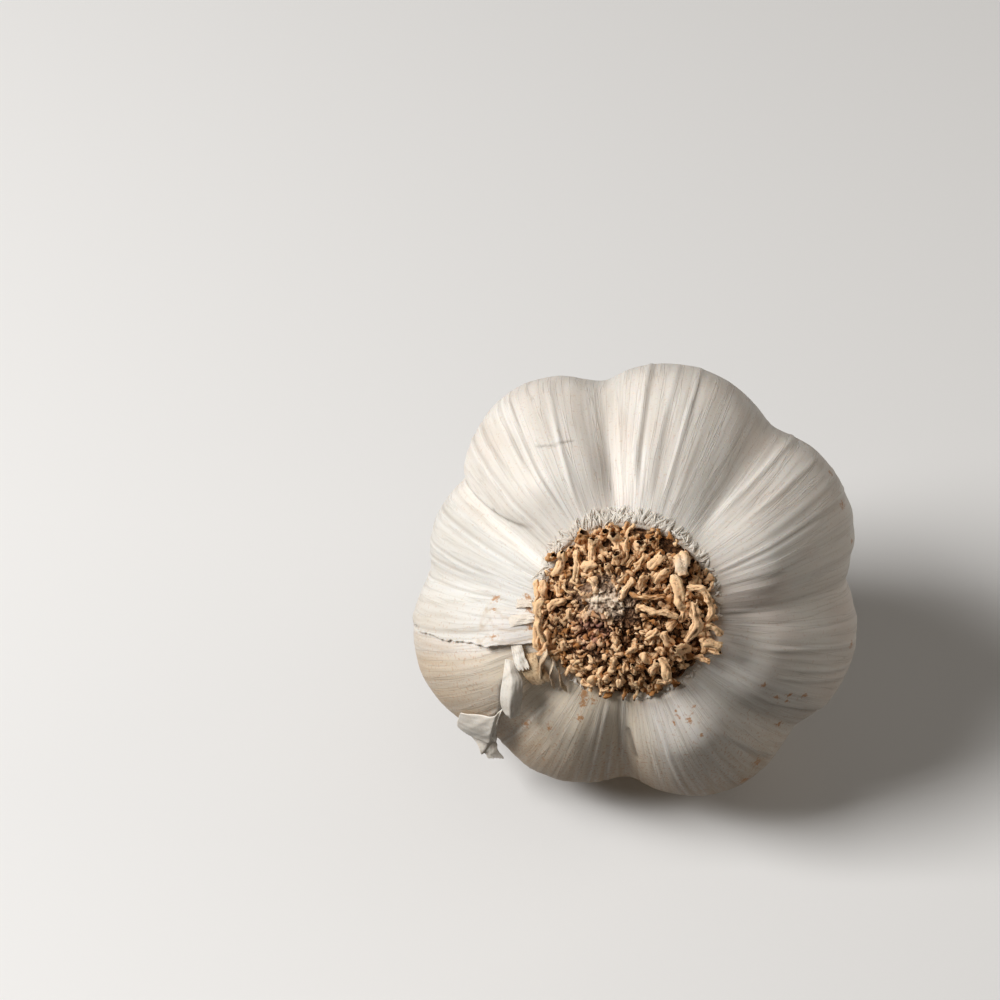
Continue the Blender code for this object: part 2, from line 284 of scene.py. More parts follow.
def pleats(angle, share):
    """Skin that dried slack, as pleats in mm, wide ones low and tight ones on the right.
    Also how deep in a wide pleat each point lies, 0 to 1."""
    wide = band(*LOW_PLEATS, angle)
    wide *= band(0.23, 0.30, 0.5, 0.62, share)
    drift = 0.35 * waves(angle, share, 5, 6, 3.0)
    crossing = np.abs(np.sin(23.0 * angle + 3.0 * share + drift))
    fold_wide = crossing - 0.6
    near_right = np.exp(-((turned(angle - RIGHT_PLEATS_AT) / RIGHT_PLEATS_SPREAD) ** 2))
    near_right *= band(0.24, 0.32, 0.5, 0.66, share)
    fold_right = np.abs(np.sin(27.0 * angle + drift)) - 0.6
    relief = 0.46 * wide * fold_wide + 0.26 * near_right * fold_right
    return relief, wide * (0.3 + 0.7 * (1.0 - crossing) ** 2)


# %% [markdown]
# ## Stains and tints
#
# Soil and age leave rust-brown specks on the lower cloves, and the skin goes tan towards the
# neck. The skin is also made browner and darker towards its lower side. These are kept as
# numbers on the mesh's points, named for the colours they give, and the material reads them.
# A pattern stored this way follows the skin through every fold.

# %% Specks and tints
SPECKS = (
    (0.268, 299.0, 0.55), (0.258, 304.5, 0.30), (0.251, 295.5, 0.35), (0.259, 295.0, 0.28),
    (0.264, 292.0, 0.25), (0.291, 300.0, 0.34), (0.262, 301.8, 0.24), (0.247, 297.5, 0.22),
    (0.232, 243.5, 0.9), (0.248, 245.5, 0.7), (0.268, 247.0, 0.6), (0.236, 250.0, 0.6),
    (0.306, 330.0, 0.45), (0.339, 327.5, 0.55), (0.355, 329.5, 0.5), (0.381, 330.5, 0.55),
    (0.36, 327.2, 0.4), (0.293, 179.0, 0.6), (0.288, 183.0, 0.3), (0.281, 193.0, 0.45),
    (0.238, 174.0, 0.9), (0.232, 180.0, 0.8), (0.233, 191.0, 0.6), (0.44, 22.0, 0.8),
    (0.46, 30.0, 0.7), (0.45, 12.0, 0.6), (0.40, 318.0, 0.6), (0.43, 300.0, 0.9),
    (0.41, 306.0, 0.7), (0.44, 345.0, 0.7), (0.34, 231.0, 0.5), (0.31, 238.0, 0.5),
)


# Round the axis, in radians, the outermost skin is missing here.
TORN_AWAY = (3.42, 3.5, 4.75, 5.0)


def tints(angle, share, radius):
    """Rust specks, tan age and pink blush, each from 0 to 1."""
    rust = np.zeros(np.shape(angle))
    for at_share, degrees, size in SPECKS:
        across = turned(angle - math.radians(degrees)) * radius
        down = (share - at_share) * SKIN_LENGTH
        rust += np.exp(-(across**2 + (0.8 * down) ** 2) / (0.72 * size) ** 2)
    # Browner and darker towards the lower side: more tan here, and more rust further down.
    low_side = smoothstep(0.1, 0.95, -np.sin(angle + 0.25))
    tan = smoothstep(0.66, 0.83, share)
    tan = np.maximum(tan, 0.95 * smoothstep(0.26, 0.43, share) * (0.10 + 0.90 * low_side))
    tan = np.maximum(tan, 0.5 * (1.0 - smoothstep(0.217, 0.245, share)))
    _, pleat_tan_and_shade = pleats(angle, share)
    # Tan in the low pleats, more in their folds as painted shade.
    tan = np.maximum(tan, 0.9 * pleat_tan_and_shade)
    blush = 0.5 + 0.5 * waves(angle, share, 23, 5, 2.5)
    spot = turned(angle - math.radians(133.5)) * radius
    blush += 1.5 * np.exp(-(spot**2 + ((share - 0.401) * SKIN_LENGTH) ** 2) / 4.0)
    inner = band(*TORN_AWAY, angle % (2.0 * math.pi))
    # More rust over the lower side.
    rust += 0.24 * low_side * band(0.24, 0.36, 0.6, 0.7, share)
    return np.clip(rust, 0, 1), np.clip(tan, 0, 1), np.clip(blush, 0, 1.5), inner


def fading(share, points):
    """A drawn line starts softly, loses height past the belly and ends softly."""
    first, last = points[0][0], points[-1][0]
    there = band(first, first + 0.06, last - 0.08, last, share)
    return there * (1.0 - 0.5 * smoothstep(0.42, 0.52, share))


def skin_relief(angle, share, radius):
    """The height of everything on the skin in mm, with how pale it is and where shade is painted on it."""
    height, pale, shade = fibres(angle, share, radius)
    # Drawn lines add pale lines with painted shade beside them, and a groove is filled with painted shade.
    for rise, width, carry, high_side, points in STEPS:
        away = from_line(angle, share, radius, points) * high_side
        step = rise / (1.0 + np.exp(-np.clip(away / (0.4 * width), -30, 30)))
        there = fading(share, points)
        height += there * step * np.exp(-np.maximum(away, 0.0) / carry)
        pale += there * 0.8 * np.exp(-(((away - width) / width) ** 2)) * min(1.0, 3.0 * rise)
        shade += there * 1.3 * np.exp(-(((away + width) / width) ** 2)) * min(1.0, 2.0 * rise)
    for rise, width, points in RIDGES:
        away = from_line(angle, share, radius, points)
        there = fading(share, points) if rise > 0 else 1.0
        height += there * rise * np.exp(-((away / width) ** 2))
        if rise > 0:
            pale += there * 0.9 * np.exp(-((away / width) ** 2))
            shade += there * 0.7 * np.exp(-(((away + 1.6 * width) / width) ** 2))
        else:
            shade += 1.4 * np.exp(-((away / width) ** 2))
    body = band(0.22, 0.30, 0.70, 0.80, share)
    folds, _ = pleats(angle, share)
    height += folds
    height += body * (0.07 * waves(angle, share, 3, 14, 7.0) + 0.05 * waves(angle, share, 4, 45, 9.0))
    gather = band(0.58, 0.76, 0.84, 0.87, share)
    height += 0.32 * gather * (np.abs(np.sin(11.0 * angle + 1.5 * waves(angle, share, 9, 4, 2.0))) - 0.6)
    hem = band(0.80, 0.84, 0.845, 0.87, share)
    height += 0.30 * hem * waves(angle, 0.0 * share, 35, 26, 0.1)
    edge = smoothstep(0.19, 0.217, share)
    return height * edge * (1.0 - smoothstep(0.84, 0.88, share)), pale, shade


# %% [markdown]
# ## Making meshes from a formula
#
# A primitive is added with an operator, at the right number of rows and columns, and its
# points are then moved where the formula says. That keeps Blender's clean, closed topology
# and gives shapes that no stack of modifiers could. Numbers for the materials are stored as
# point attributes.

# %% Helpers for pieces
def start_piece(name, add, **settings):
    """Adds one primitive under this name, with nothing else selected."""
    bpy.ops.object.select_all(action="DESELECT")
    add(location=(0, 0, 0), **settings)
    piece = bpy.context.object
    piece.name = piece.data.name = name
    return piece


def points_of(mesh):
    flat = np.empty(len(mesh.vertices) * 3)
    mesh.vertices.foreach_get("co", flat)
    return flat.reshape(-1, 3)


def set_points(mesh, points):
    mesh.vertices.foreach_set("co", np.ascontiguousarray(points, dtype=np.float32).ravel())
    mesh.update()


def set_numbers(mesh, name, values):
    """Stores one number for each point, or three for a vector, under this name."""
    values = np.asarray(values, np.float32)
    kind, field = ("FLOAT_VECTOR", "vector") if values.ndim == 2 else ("FLOAT", "value")
    layer = mesh.attributes.get(name) or mesh.attributes.new(name, kind, "POINT")
    layer.data.foreach_set(field, values.ravel())


def ball_places(mesh):
    """For each point of a ball: its angle round the axis, and how far down it lies, 0 to 1."""
    ball = points_of(mesh)
    down = np.arccos(np.clip(ball[:, 2], -1.0, 1.0)) / math.pi
    return np.arctan2(ball[:, 1], ball[:, 0]), down


def select_only(pieces):
    bpy.ops.object.select_all(action="DESELECT")
    for piece in pieces:
        piece.select_set(True)
    bpy.context.view_layer.objects.active = pieces[0]


def join(pieces, name):
    """Makes one piece of several, under this name."""
    select_only(pieces)
    bpy.ops.object.join()
    pieces[0].name = pieces[0].data.name = name
    return pieces[0]


def thicken(piece, thickness):
    """Gives a sheet its thickness in mm, as part of its mesh."""
    piece.modifiers.new("thickness", "SOLIDIFY").thickness = thickness * MM
    select_only([piece])
    bpy.ops.object.modifier_apply(modifier="thickness")


def face_outwards(piece):
    """Recalculates the normals in edit mode, and shades the piece smooth."""
    select_only([piece])
    bpy.ops.object.mode_set(mode="EDIT")
    bpy.ops.mesh.select_all(action="SELECT")
    bpy.ops.mesh.normals_make_consistent(inside=False)
    bpy.ops.object.mode_set(mode="OBJECT")
    piece.data.shade_smooth()


def settle(piece, finish, node=None):
    """Gives a piece its material, and ties it to the frame."""
    piece.data.materials.clear()
    piece.data.materials.append(finish)
    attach(piece, "root")
    if node:
        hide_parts(node)
    print(f"{piece.name}: {len(piece.data.vertices)} points")


# %% [markdown]
# ## Materials
#
# The skin's colour is built in layers, as it is on the bulb: ivory, then long pale and grey
# streaks along the fibres, then blush, tan and rust. Painted shade darkens its grooves, the
# sides of its fibres and the low side of its steps. The streaks are noise that is stretched
# along the fibres: it reads a point's direction round the axis many times finer than its
# place along it. The same group makes the grain of the neck and of the torn flakes.

# %% Node helpers
def put(tree, kind, inputs=None, **settings):
    """Adds a node. Inputs given as sockets are linked, others are set."""
    made = tree.nodes.new(kind)
    for name, value in settings.items():
        setattr(made, name, value)
    for socket, value in (inputs or {}).items():
        if isinstance(value, bpy.types.NodeSocket):
            tree.links.new(value, made.inputs[socket])
        else:
            made.inputs[socket].default_value = value
    return made


def number(tree, name):
    return put(tree, "ShaderNodeAttribute", attribute_name=name).outputs["Fac"]


def blend_colours(tree, factor, first, second):
    inputs = {0: factor, 6: first, 7: second}
    return put(tree, "ShaderNodeMix", inputs, data_type="RGBA").outputs[2]


def sums(tree, how, first, second, clamp=False):
    made = put(tree, "ShaderNodeMath", {0: first, 1: second}, operation=how, use_clamp=clamp)
    return made.outputs[0]


def remap(tree, value, low, high, new_low=0.0, new_high=1.0):
    inputs = {"Value": value, "From Min": low, "From Max": high, "To Min": new_low, "To Max": new_high}
    return put(tree, "ShaderNodeMapRange", inputs, clamp=True).outputs["Result"]


def new_group(name, inputs, outputs):
    group = bpy.data.node_groups.new(name, "ShaderNodeTree")
    for label, kind, value in inputs:
        socket = group.interface.new_socket(label, in_out="INPUT", socket_type=kind)
        if value is not None:
            socket.default_value = value
    for label, kind in outputs:
        group.interface.new_socket(label, in_out="OUTPUT", socket_type=kind)
    return group, group.nodes.new("NodeGroupInput"), group.nodes.new("NodeGroupOutput")


def use_group(tree, group, inputs):
    return put(tree, "ShaderNodeGroup", inputs, node_tree=group)


def streaks_group():
    """Long streaks along the fibres: a wide set, a fine set and hair-thin lines."""
    group, given, result = new_group(
        "fibre_streaks",
        (("Fibre", "NodeSocketVector", None), ("Fineness", "NodeSocketFloat", 1.0)),
        (("Wide", "NodeSocketFloat"), ("Fine", "NodeSocketFloat"), ("Lines", "NodeSocketFloat")),
    )
    for label, around, along, detail in (("Wide", 9.0, 2.0, 3.0), ("Fine", 46.0, 5.0, 4.0)):
        scale = put(group, "ShaderNodeCombineXYZ", {0: around, 1: around, 2: along}).outputs[0]
        scale = put(
            group, "ShaderNodeVectorMath", {0: scale, "Scale": given.outputs["Fineness"]},
            operation="SCALE",
        ).outputs[0]
        place = put(
            group, "ShaderNodeVectorMath", {0: given.outputs["Fibre"], 1: scale},
            operation="MULTIPLY",
        ).outputs[0]
        cloud = put(group, "ShaderNodeTexNoise", {"Vector": place, "Scale": 1.0, "Detail": detail})
        group.links.new(cloud.outputs["Fac"], result.inputs[label])
    place = put(
        group, "ShaderNodeVectorMath", {0: given.outputs["Fibre"], 1: (26.0, 26.0, 1.4)},
        operation="MULTIPLY",
    ).outputs[0]
    cloud = put(group, "ShaderNodeTexNoise", {"Vector": place, "Scale": 1.0, "Detail": 3.0})
    away = sums(group, "ABSOLUTE", sums(group, "SUBTRACT", cloud.outputs["Fac"], 0.5), 0.0)
    thin = remap(group, away, 0.0, 0.022, 1.0, 0.0)
    group.links.new(thin, result.inputs["Lines"])
    return group


def mottle_group():
    """Blotches and grains in space, at two sizes given in points per metre."""
    group, given, result = new_group(
        "mottle",
        (("Coarse", "NodeSocketFloat", 150.0), ("Grain", "NodeSocketFloat", 1800.0)),
        (("Blotch", "NodeSocketFloat"), ("Grain", "NodeSocketFloat")),
    )
    place = put(group, "ShaderNodeTexCoord").outputs["Object"]
    for label, socket, detail in (("Blotch", "Coarse", 5.0), ("Grain", "Grain", 4.0)):
        inputs = {"Vector": place, "Scale": given.outputs[socket], "Detail": detail}
        cloud = put(group, "ShaderNodeTexNoise", inputs)
        group.links.new(cloud.outputs["Fac"], result.inputs[label])
    return group


STREAKS, MOTTLE = streaks_group(), mottle_group()


def new_material(name, roughness, specular=0.3):
    finish = bpy.data.materials.new(name)
    finish.use_nodes = True
    shader = finish.node_tree.nodes["Principled BSDF"]
    shader.inputs["Roughness"].default_value = roughness
    shader.inputs["Specular IOR Level"].default_value = specular
    return finish, finish.node_tree, shader


def connect(tree, shader, colour, normal, roughness):
    for socket, value in (("Base Color", colour), ("Normal", normal), ("Roughness", roughness)):
        tree.links.new(value, shader.inputs[socket])


def soften(shader, weight, depth_mm, warmth):
    """Lets light spread a little under the surface, further in the warm colours."""
    shader.inputs["Subsurface Weight"].default_value = weight
    shader.inputs["Subsurface Radius"].default_value = warmth
    shader.inputs["Subsurface Scale"].default_value = depth_mm * MM


def bump(tree, height, distance_mm, strength=1.0, under=None):
    inputs = {"Height": height, "Distance": distance_mm * MM, "Strength": strength}
    if under is not None:
        inputs["Normal"] = under
    return put(tree, "ShaderNodeBump", inputs).outputs["Normal"]


# %% The papery skin
IVORY, WARM_WHITE = (0.80, 0.755, 0.69, 1), (0.90, 0.87, 0.82, 1)
GREY_STREAK, SHADE_AND_DARK_MARKS = (0.57, 0.53, 0.475, 1), (0.36, 0.31, 0.26, 1)
BLUSH, TAN, RUST = (0.78, 0.64, 0.56, 1), (0.52, 0.37, 0.22, 1), (0.50, 0.22, 0.065, 1)
INNER_SKIN = (0.76, 0.65, 0.50, 1)


def skin_material(name, thin=0.25):
    finish, tree, shader = new_material(name, 0.5, 0.28)
    fibre = put(tree, "ShaderNodeAttribute", attribute_name="fibre").outputs["Vector"]
    streaks = use_group(tree, STREAKS, {"Fibre": fibre}).outputs
    spots = use_group(tree, MOTTLE, {"Coarse": 120.0, "Grain": 2600.0}).outputs
    colour = blend_colours(tree, remap(tree, streaks["Wide"], 0.35, 0.65), IVORY, WARM_WHITE)
    colour = blend_colours(tree, sums(tree, "MULTIPLY", number(tree, "inner"), 0.78), colour, INNER_SKIN)
    grey = remap(tree, streaks["Fine"], 0.50, 0.72, 0.0, 0.38)
    colour = blend_colours(tree, grey, colour, GREY_STREAK)
    blush = sums(tree, "MULTIPLY", number(tree, "blush"), remap(tree, spots["Blotch"], 0.40, 0.70, 0.0, 0.40))
    colour = blend_colours(tree, blush, colour, BLUSH)
    tan = sums(tree, "MULTIPLY", number(tree, "tan"), remap(tree, streaks["Fine"], 0.3, 0.7, 0.45, 1.0))
    colour = blend_colours(tree, tan, colour, TAN)
    colour = blend_colours(tree, sums(tree, "MULTIPLY", number(tree, "pale"), 0.55, True), colour, WARM_WHITE)
    # Painted shade in grooves, beside fibres and on the low side of steps.
    shade = sums(tree, "MULTIPLY", number(tree, "shade"), 0.42, True)
    colour = blend_colours(tree, shade, colour, SHADE_AND_DARK_MARKS)
    lines = sums(tree, "MULTIPLY", streaks["Lines"], 0.22)
    colour = blend_colours(tree, lines, colour, SHADE_AND_DARK_MARKS)
    rust = sums(tree, "ADD", number(tree, "rust"), remap(tree, spots["Grain"], 0.38, 0.66, -0.55, 0.20))
    rust = remap(tree, rust, 0.08, 0.62, 0.0, 0.80)
    colour = blend_colours(tree, rust, colour, RUST)
    relief = bump(tree, streaks["Fine"], 0.06, 0.6)
    relief = bump(tree, streaks["Lines"], 0.05, 0.6, relief)
    relief = bump(tree, spots["Grain"], 0.03, 0.5, relief)
    roughness = remap(tree, streaks["Wide"], 0.3, 0.7, 0.42, 0.58)
    connect(tree, shader, colour, relief, roughness)
    soften(shader, thin, 0.6, (1.0, 0.72, 0.5))
    return finish


PAPERY_SKIN = skin_material("papery_skin")
print("materials so far:", len(bpy.data.materials))

# %% [markdown]
# ## The skin
#
# The whole skin is one sphere of columns and rows, moved onto the formula and then out along
# its own normal by everything that lies on it. Rows are crowded where the skin is seen best,
# between the roots and the belly, and thin out towards the hidden socket.

# %% The papery skin, all round
SKIN_COLUMNS, SKIN_ROWS = 560, 168


def paint_skin(mesh, angle, share, radius, pale, shade):
    rust, tan, blush, inner = tints(angle, share, radius)
    fields = {"rust": rust, "tan": tan, "blush": blush, "inner": inner, "pale": pale, "shade": shade}
    for name, values in fields.items():
        set_numbers(mesh, name, values)
    set_numbers(mesh, "fibre", np.stack([np.cos(angle), np.sin(angle), share * 3.0], axis=-1))


def make_skin():
    piece = start_piece(
        "garlic_skin", bpy.ops.mesh.primitive_uv_sphere_add,
        segments=SKIN_COLUMNS, ring_count=SKIN_ROWS, radius=1.0,
    )
    angle, down = ball_places(piece.data)
    share = np.interp(down, (0.0, 0.05, 0.64, 0.96, 1.0), (0.0, 0.205, 0.50, 0.87, 1.0))
    here, out, radius = skin_frame(angle, share)
    height, pale, shade = skin_relief(angle, share, radius)
    set_points(piece.data, laid_down(here + out * height[:, None]))
    paint_skin(piece.data, angle, share, radius, pale, shade)
    face_outwards(piece)
    settle(piece, PAPERY_SKIN, "bulb")


make_skin()

# %% [markdown]
# ## The corky plate
#
# The roots grew from a short, hard plate. What's left of it is a low dome of dead crust,
# crumbled like dry bread: dark cracks between pale crumbs, with a woolly, whitish patch
# where the crust has flaked off. A sphere is flattened onto the dome, and cells of noise
# raise the crumbs. How deep a point lies and which crumb it belongs to are kept for the
# material, which paints shade, nearly black, into the cracks, so they stay dark from every side.

# %% The corky plate
PLATE_PROFILE = ((0.0, 3.5), (2.5, 3.4), (5.0, 2.9), (7.0, 2.3), (9.0, 1.5), (10.6, 0.5),
                 (11.6, -0.6), (11.4, -1.8), (9.0, -2.3), (5.0, -2.4), (0.0, -2.4))
WOOLLY_SPOT, WINE_SPOT, WHITE_KNOB = (-2.7, 2.2), (-4.6, -2.0), (7.4, 6.9)


def plate_height(x, y):
    """The height of the crust's dome in mm at a place round the axis."""
    radius = np.hypot(x, y)
    dome = np.interp(radius, [r for r, _ in PLATE_PROFILE[:7]], [h for _, h in PLATE_PROFILE[:7]])
    return np.maximum(dome, 0.15)


def near(x, y, spot, size):
    return np.exp(-((x - spot[0]) ** 2 + (y - spot[1]) ** 2) / size**2)


def crumbs(points, size, seed):
    """How far each point stands up on its crumb, 0 to 1, and a random number per crumb."""
    stand, chance = np.empty(len(points)), np.empty(len(points))
    for index, point in enumerate(points):
        place = Vector(point)
        place = place + 0.35 * size * noise.noise_vector(place / (0.8 * size))
        distances, corners = noise.voronoi((place + Vector((seed, 0, 0))) / size)
        stand[index] = min((distances[1] - distances[0]) * 2.2, 1.0)
        chance[index] = noise.cell(corners[0] * 7.3)
    return stand, chance


def make_plate():
    piece = start_piece(
        "root_cork", bpy.ops.mesh.primitive_uv_sphere_add,
        segments=230, ring_count=150, radius=1.0,
    )
    angle, down = ball_places(piece.data)
    share = np.interp(down, (0.0, 0.85, 1.0), (0.0, 0.60, 1.0))
    radius, height = smooth_rows(PLATE_PROFILE, share).T
    flat = round_axis(angle, radius, height)
    stand, chance = crumbs(flat, 0.85, 3.0)
    fine, fine_chance = crumbs(flat, 0.38, 9.0)
    woolly = near(flat[:, 0], 1.3 * flat[:, 1] - 0.6, WOOLLY_SPOT, 2.9) * (0.75 + 0.5 * chance)
    rise = (0.65 * stand * (0.4 + chance) + 0.26 * fine) * (1.0 - 0.70 * woolly) + 0.8 * woolly
    rise *= smoothstep(0.02, 0.10, down) * 0.5 + 0.5
    rise *= 1.0 - smoothstep(0.60, 0.66, share)
    # Painted shade: deep in the cracks between crumbs, less on the woolly patch.
    depth = np.clip(1.0 - 0.6 * stand - 0.4 * fine, 0.0, 1.0) * (1.0 - 0.8 * woolly)
    flat[:, 2] += rise
    set_points(piece.data, laid_down(flat))
    set_numbers(piece.data, "depth", depth)
    set_numbers(piece.data, "tone", 0.55 * chance + 0.45 * fine_chance)
    set_numbers(piece.data, "wool", np.clip(1.7 * woolly, 0.0, 1.0))
    set_numbers(piece.data, "wine", near(flat[:, 0], flat[:, 1], WINE_SPOT, 2.6))
    face_outwards(piece)
    settle(piece, CRUST, "root_plate")


WOOL, WINE = (0.95, 0.80, 0.63, 1), (0.30, 0.10, 0.11, 1)
CREAM, ROOT_BROWN, CRACK_SHADE = (1.0, 0.66, 0.385, 1), (0.45, 0.205, 0.07, 1), (0.035, 0.016, 0.008, 1)


def crust_material(name, highlight, body, crack_shade, roughness):
    """Dead root and crust: pale to orange-brown by tone, the roots paler on crests as painted highlight, and
    nearly black painted shade in cracks and hollows.
    """
    finish, tree, shader = new_material(name, roughness, 0.12)
    spots = use_group(tree, MOTTLE, {"Coarse": 900.0, "Grain": 4200.0}).outputs
    # The tone number also carries the roots' painted highlight on their crests.
    tone = sums(tree, "ADD", number(tree, "tone"), remap(tree, spots["Blotch"], 0.3, 0.7, -0.3, 0.3))
    colour = blend_colours(tree, remap(tree, tone, 0.15, 0.85), body, highlight)
    wool = sums(tree, "MULTIPLY", number(tree, "wool"), remap(tree, spots["Blotch"], 0.3, 0.6, 0.35, 1.0))
    colour = blend_colours(tree, wool, colour, WOOL)
    wine = sums(tree, "MULTIPLY", number(tree, "wine"), remap(tree, spots["Blotch"], 0.40, 0.62, 0.15, 0.85))
    colour = blend_colours(tree, wine, colour, WINE)
    depth = sums(tree, "ADD", number(tree, "depth"), remap(tree, spots["Grain"], 0.3, 0.7, -0.2, 0.2))
    # Painted shade, nearly black, where the depth number is high.
    colour = blend_colours(tree, remap(tree, depth, 0.30, 0.80), colour, crack_shade)
    relief = bump(tree, spots["Blotch"], 0.25, 0.8)
    relief = bump(tree, spots["Grain"], 0.08, 0.9, relief)
    roughness = remap(tree, spots["Grain"], 0.3, 0.7, 0.72, 0.95)
    connect(tree, shader, colour, relief, roughness)
    soften(shader, 0.15, 0.5, (1.0, 0.6, 0.35))
    return finish


CRUST = crust_material("corky_plate", (0.60, 0.38, 0.21, 1), (0.21, 0.095, 0.04, 1), CRACK_SHADE, 0.85)
DRY_ROOT = crust_material("dry_root", CREAM, ROOT_BROWN, (0.07, 0.03, 0.012, 1), 0.75)
make_plate()

# %% [markdown]
# ## Roots
#
# Each root is a dried tube, wrinkled along its length and torn off short. One ball stands in
# for it: its rows become the hollow of the torn end, the lip round it, the wrinkled wall and
# the closed tip. The ball is then laid along a path. The stubs that show best are placed one
# by one, and a few hundred small crumbs between them come from seeded random numbers.

# %% The shape of one root
ROOT_PROFILE = (
    (0.0, 0.9, 0.0), (0.06, 0.9, 0.45), (0.12, 0.25, 0.66), (0.17, 0.0, 0.84), (0.23, 0.25, 1.0),
    (0.5, 0.5, 0.96), (0.86, 0.82, 0.92), (0.95, 0.97, 0.6), (1.0, 1.0, 0.0),
)
BLUNT_PROFILE = (
    (0.0, 0.0, 0.0), (0.07, 0.02, 0.55), (0.15, 0.10, 0.86), (0.26, 0.2, 1.0),
    (0.5, 0.5, 0.96), (0.86, 0.85, 0.90), (0.95, 0.97, 0.55), (1.0, 1.0, 0.0),
)


def ball_rows(sides, rows):
    """Which way round and how far down each point of a ball lies, and the ball's faces."""
    model = start_piece("model", bpy.ops.mesh.primitive_uv_sphere_add, segments=sides, ring_count=rows)
    turn, down = ball_places(model.data)
    faces = [tuple(face.vertices) for face in model.data.polygons]
    bpy.ops.object.delete()
    return turn, down, faces


def root_shape(ball, path, thickness, rng, hollow, flatness, crumple):
    """Points in mm of a root along a path, with how deep each point lies, for painted shade,
    and how high it stands on a crest, for a painted highlight. A flatness of 1 is round, and
    crumple is the strength of its wrinkles and dents."""
    turn, down, _ = ball
    path = np.asarray(path, float)
    profile = ROOT_PROFILE if hollow else BLUNT_PROFILE
    marks, alongs, reaches = np.array(profile).T
    length = np.linalg.norm(np.diff(path, axis=0), axis=1).sum()
    along = np.interp(down, marks, alongs)
    if hollow:
        dip = min(0.75 * thickness / length, 0.6)
        along = np.where(down < 0.17, along * dip, dip * 0.2 + along * (1.0 - dip * 0.2))
    reach = np.interp(down, marks, reaches) * thickness * 0.5
    middle = smooth_rows(path, along)
    ahead = unit(smooth_rows(path, along + 0.03) - smooth_rows(path, along - 0.03))
    side = unit(np.cross(ahead, np.array((0.05, 0.02, 1.0))))
    up = np.cross(side, ahead)
    wrinkle_count = rng.integers(3, 6)
    phases = rng.uniform(0.0, 6.28, 5)
    wrinkle = 0.5 + 0.5 * np.cos(wrinkle_count * turn + phases[0] + 2.5 * np.sin(4.0 * along + phases[1]))
    knots = np.cos(
        along * length * 3.4 / thickness + phases[2]
    ) + 0.7 * np.cos(2.0 * turn + phases[3] + 5.0 * along)
    reach = reach * (1.0 + crumple * (0.16 * (wrinkle - 0.6) + 0.10 * knots))
    twist = turn + phases[4]
    offset = rng.uniform(0.0, 90.0)
    grain = 0.42 * thickness
    dents = np.array([
        noise.noise((math.cos(a) * 1.5, math.sin(a) * 1.5, 0.45 * b * length / grain + offset))
        + 0.7 * noise.noise((math.cos(a) * 3.4, math.sin(a) * 3.4, 0.9 * b * length / grain - offset))
        for a, b in zip(turn, along)
    ])
    reach = reach * (1.0 + 0.42 * crumple * dents)
    bend = 0.10 * thickness * crumple
    drift = bend * np.sin(along * length * 1.9 / thickness + phases[0])
    points = middle + side * (reach * np.cos(twist) + drift)[:, None]
    points = points + up * (reach * np.sin(twist) * flatness)[:, None]
    if hollow:
        ragged = np.exp(-(((down - 0.18) / 0.05) ** 2)) * thickness * 0.28
        points -= ahead * (ragged * np.cos(3.0 * turn + phases[1]) * np.cos(turn + phases[2]))[:, None]
    # Painted shade: dark inside the hollow end and in the valleys of wrinkles and dents; the last number
    # returned rises on crests for a painted highlight.
    inside = (1.0 - smoothstep(0.10, 0.17, down)) if hollow else 0.0 * down
    depth = np.clip(0.95 * inside + 0.38 * (1.0 - wrinkle) - 0.50 * dents, 0.0, 1.0)
    return points, depth, 0.5 * wrinkle + 0.5 + dents


def many_roots(name, ball, shapes, tones):
    """One mesh of many roots, each laid down, with its own tone."""
    faces = ball[2]
    count = len(ball[0])
    points = laid_down(np.concatenate([shape[0] for shape in shapes]))
    corners = np.array([corner for face in faces for corner in face])
    loops = (corners[None, :] + np.arange(len(shapes))[:, None] * count).ravel()
    sizes = [len(face) for face in faces]
    mesh = bpy.data.meshes.new(name)
    edges = np.cumsum([0] + sizes * len(shapes))
    mesh.from_pydata(points.tolist(), [], [loops[a:b].tolist() for a, b in zip(edges, edges[1:])])
    piece = bpy.data.objects.new(name, mesh)
    bpy.context.scene.collection.objects.link(piece)
    set_numbers(mesh, "depth", np.concatenate([shape[1] for shape in shapes]))
    # Each root's own tone, paler on its crests as a painted highlight.
    tone_and_crest_highlight = [tone + 0.55 * (shape[2] - 0.68) for tone, shape in zip(tones, shapes)]
    set_numbers(mesh, "tone", np.concatenate(tone_and_crest_highlight))
    return piece


def tint_roots(piece, flat_points):
    """Wine and wool where the crust has them, read from the points round the axis."""
    set_numbers(piece.data, "wine", near(flat_points[:, 0], flat_points[:, 1], WINE_SPOT, 2.4))
    wool = 0.8 * near(flat_points[:, 0], flat_points[:, 1], WOOLLY_SPOT, 2.2)
    wool += 1.5 * near(flat_points[:, 0], flat_points[:, 1], WHITE_KNOB, 1.0)
    set_numbers(piece.data, "wool", np.clip(wool, 0.0, 1.0))


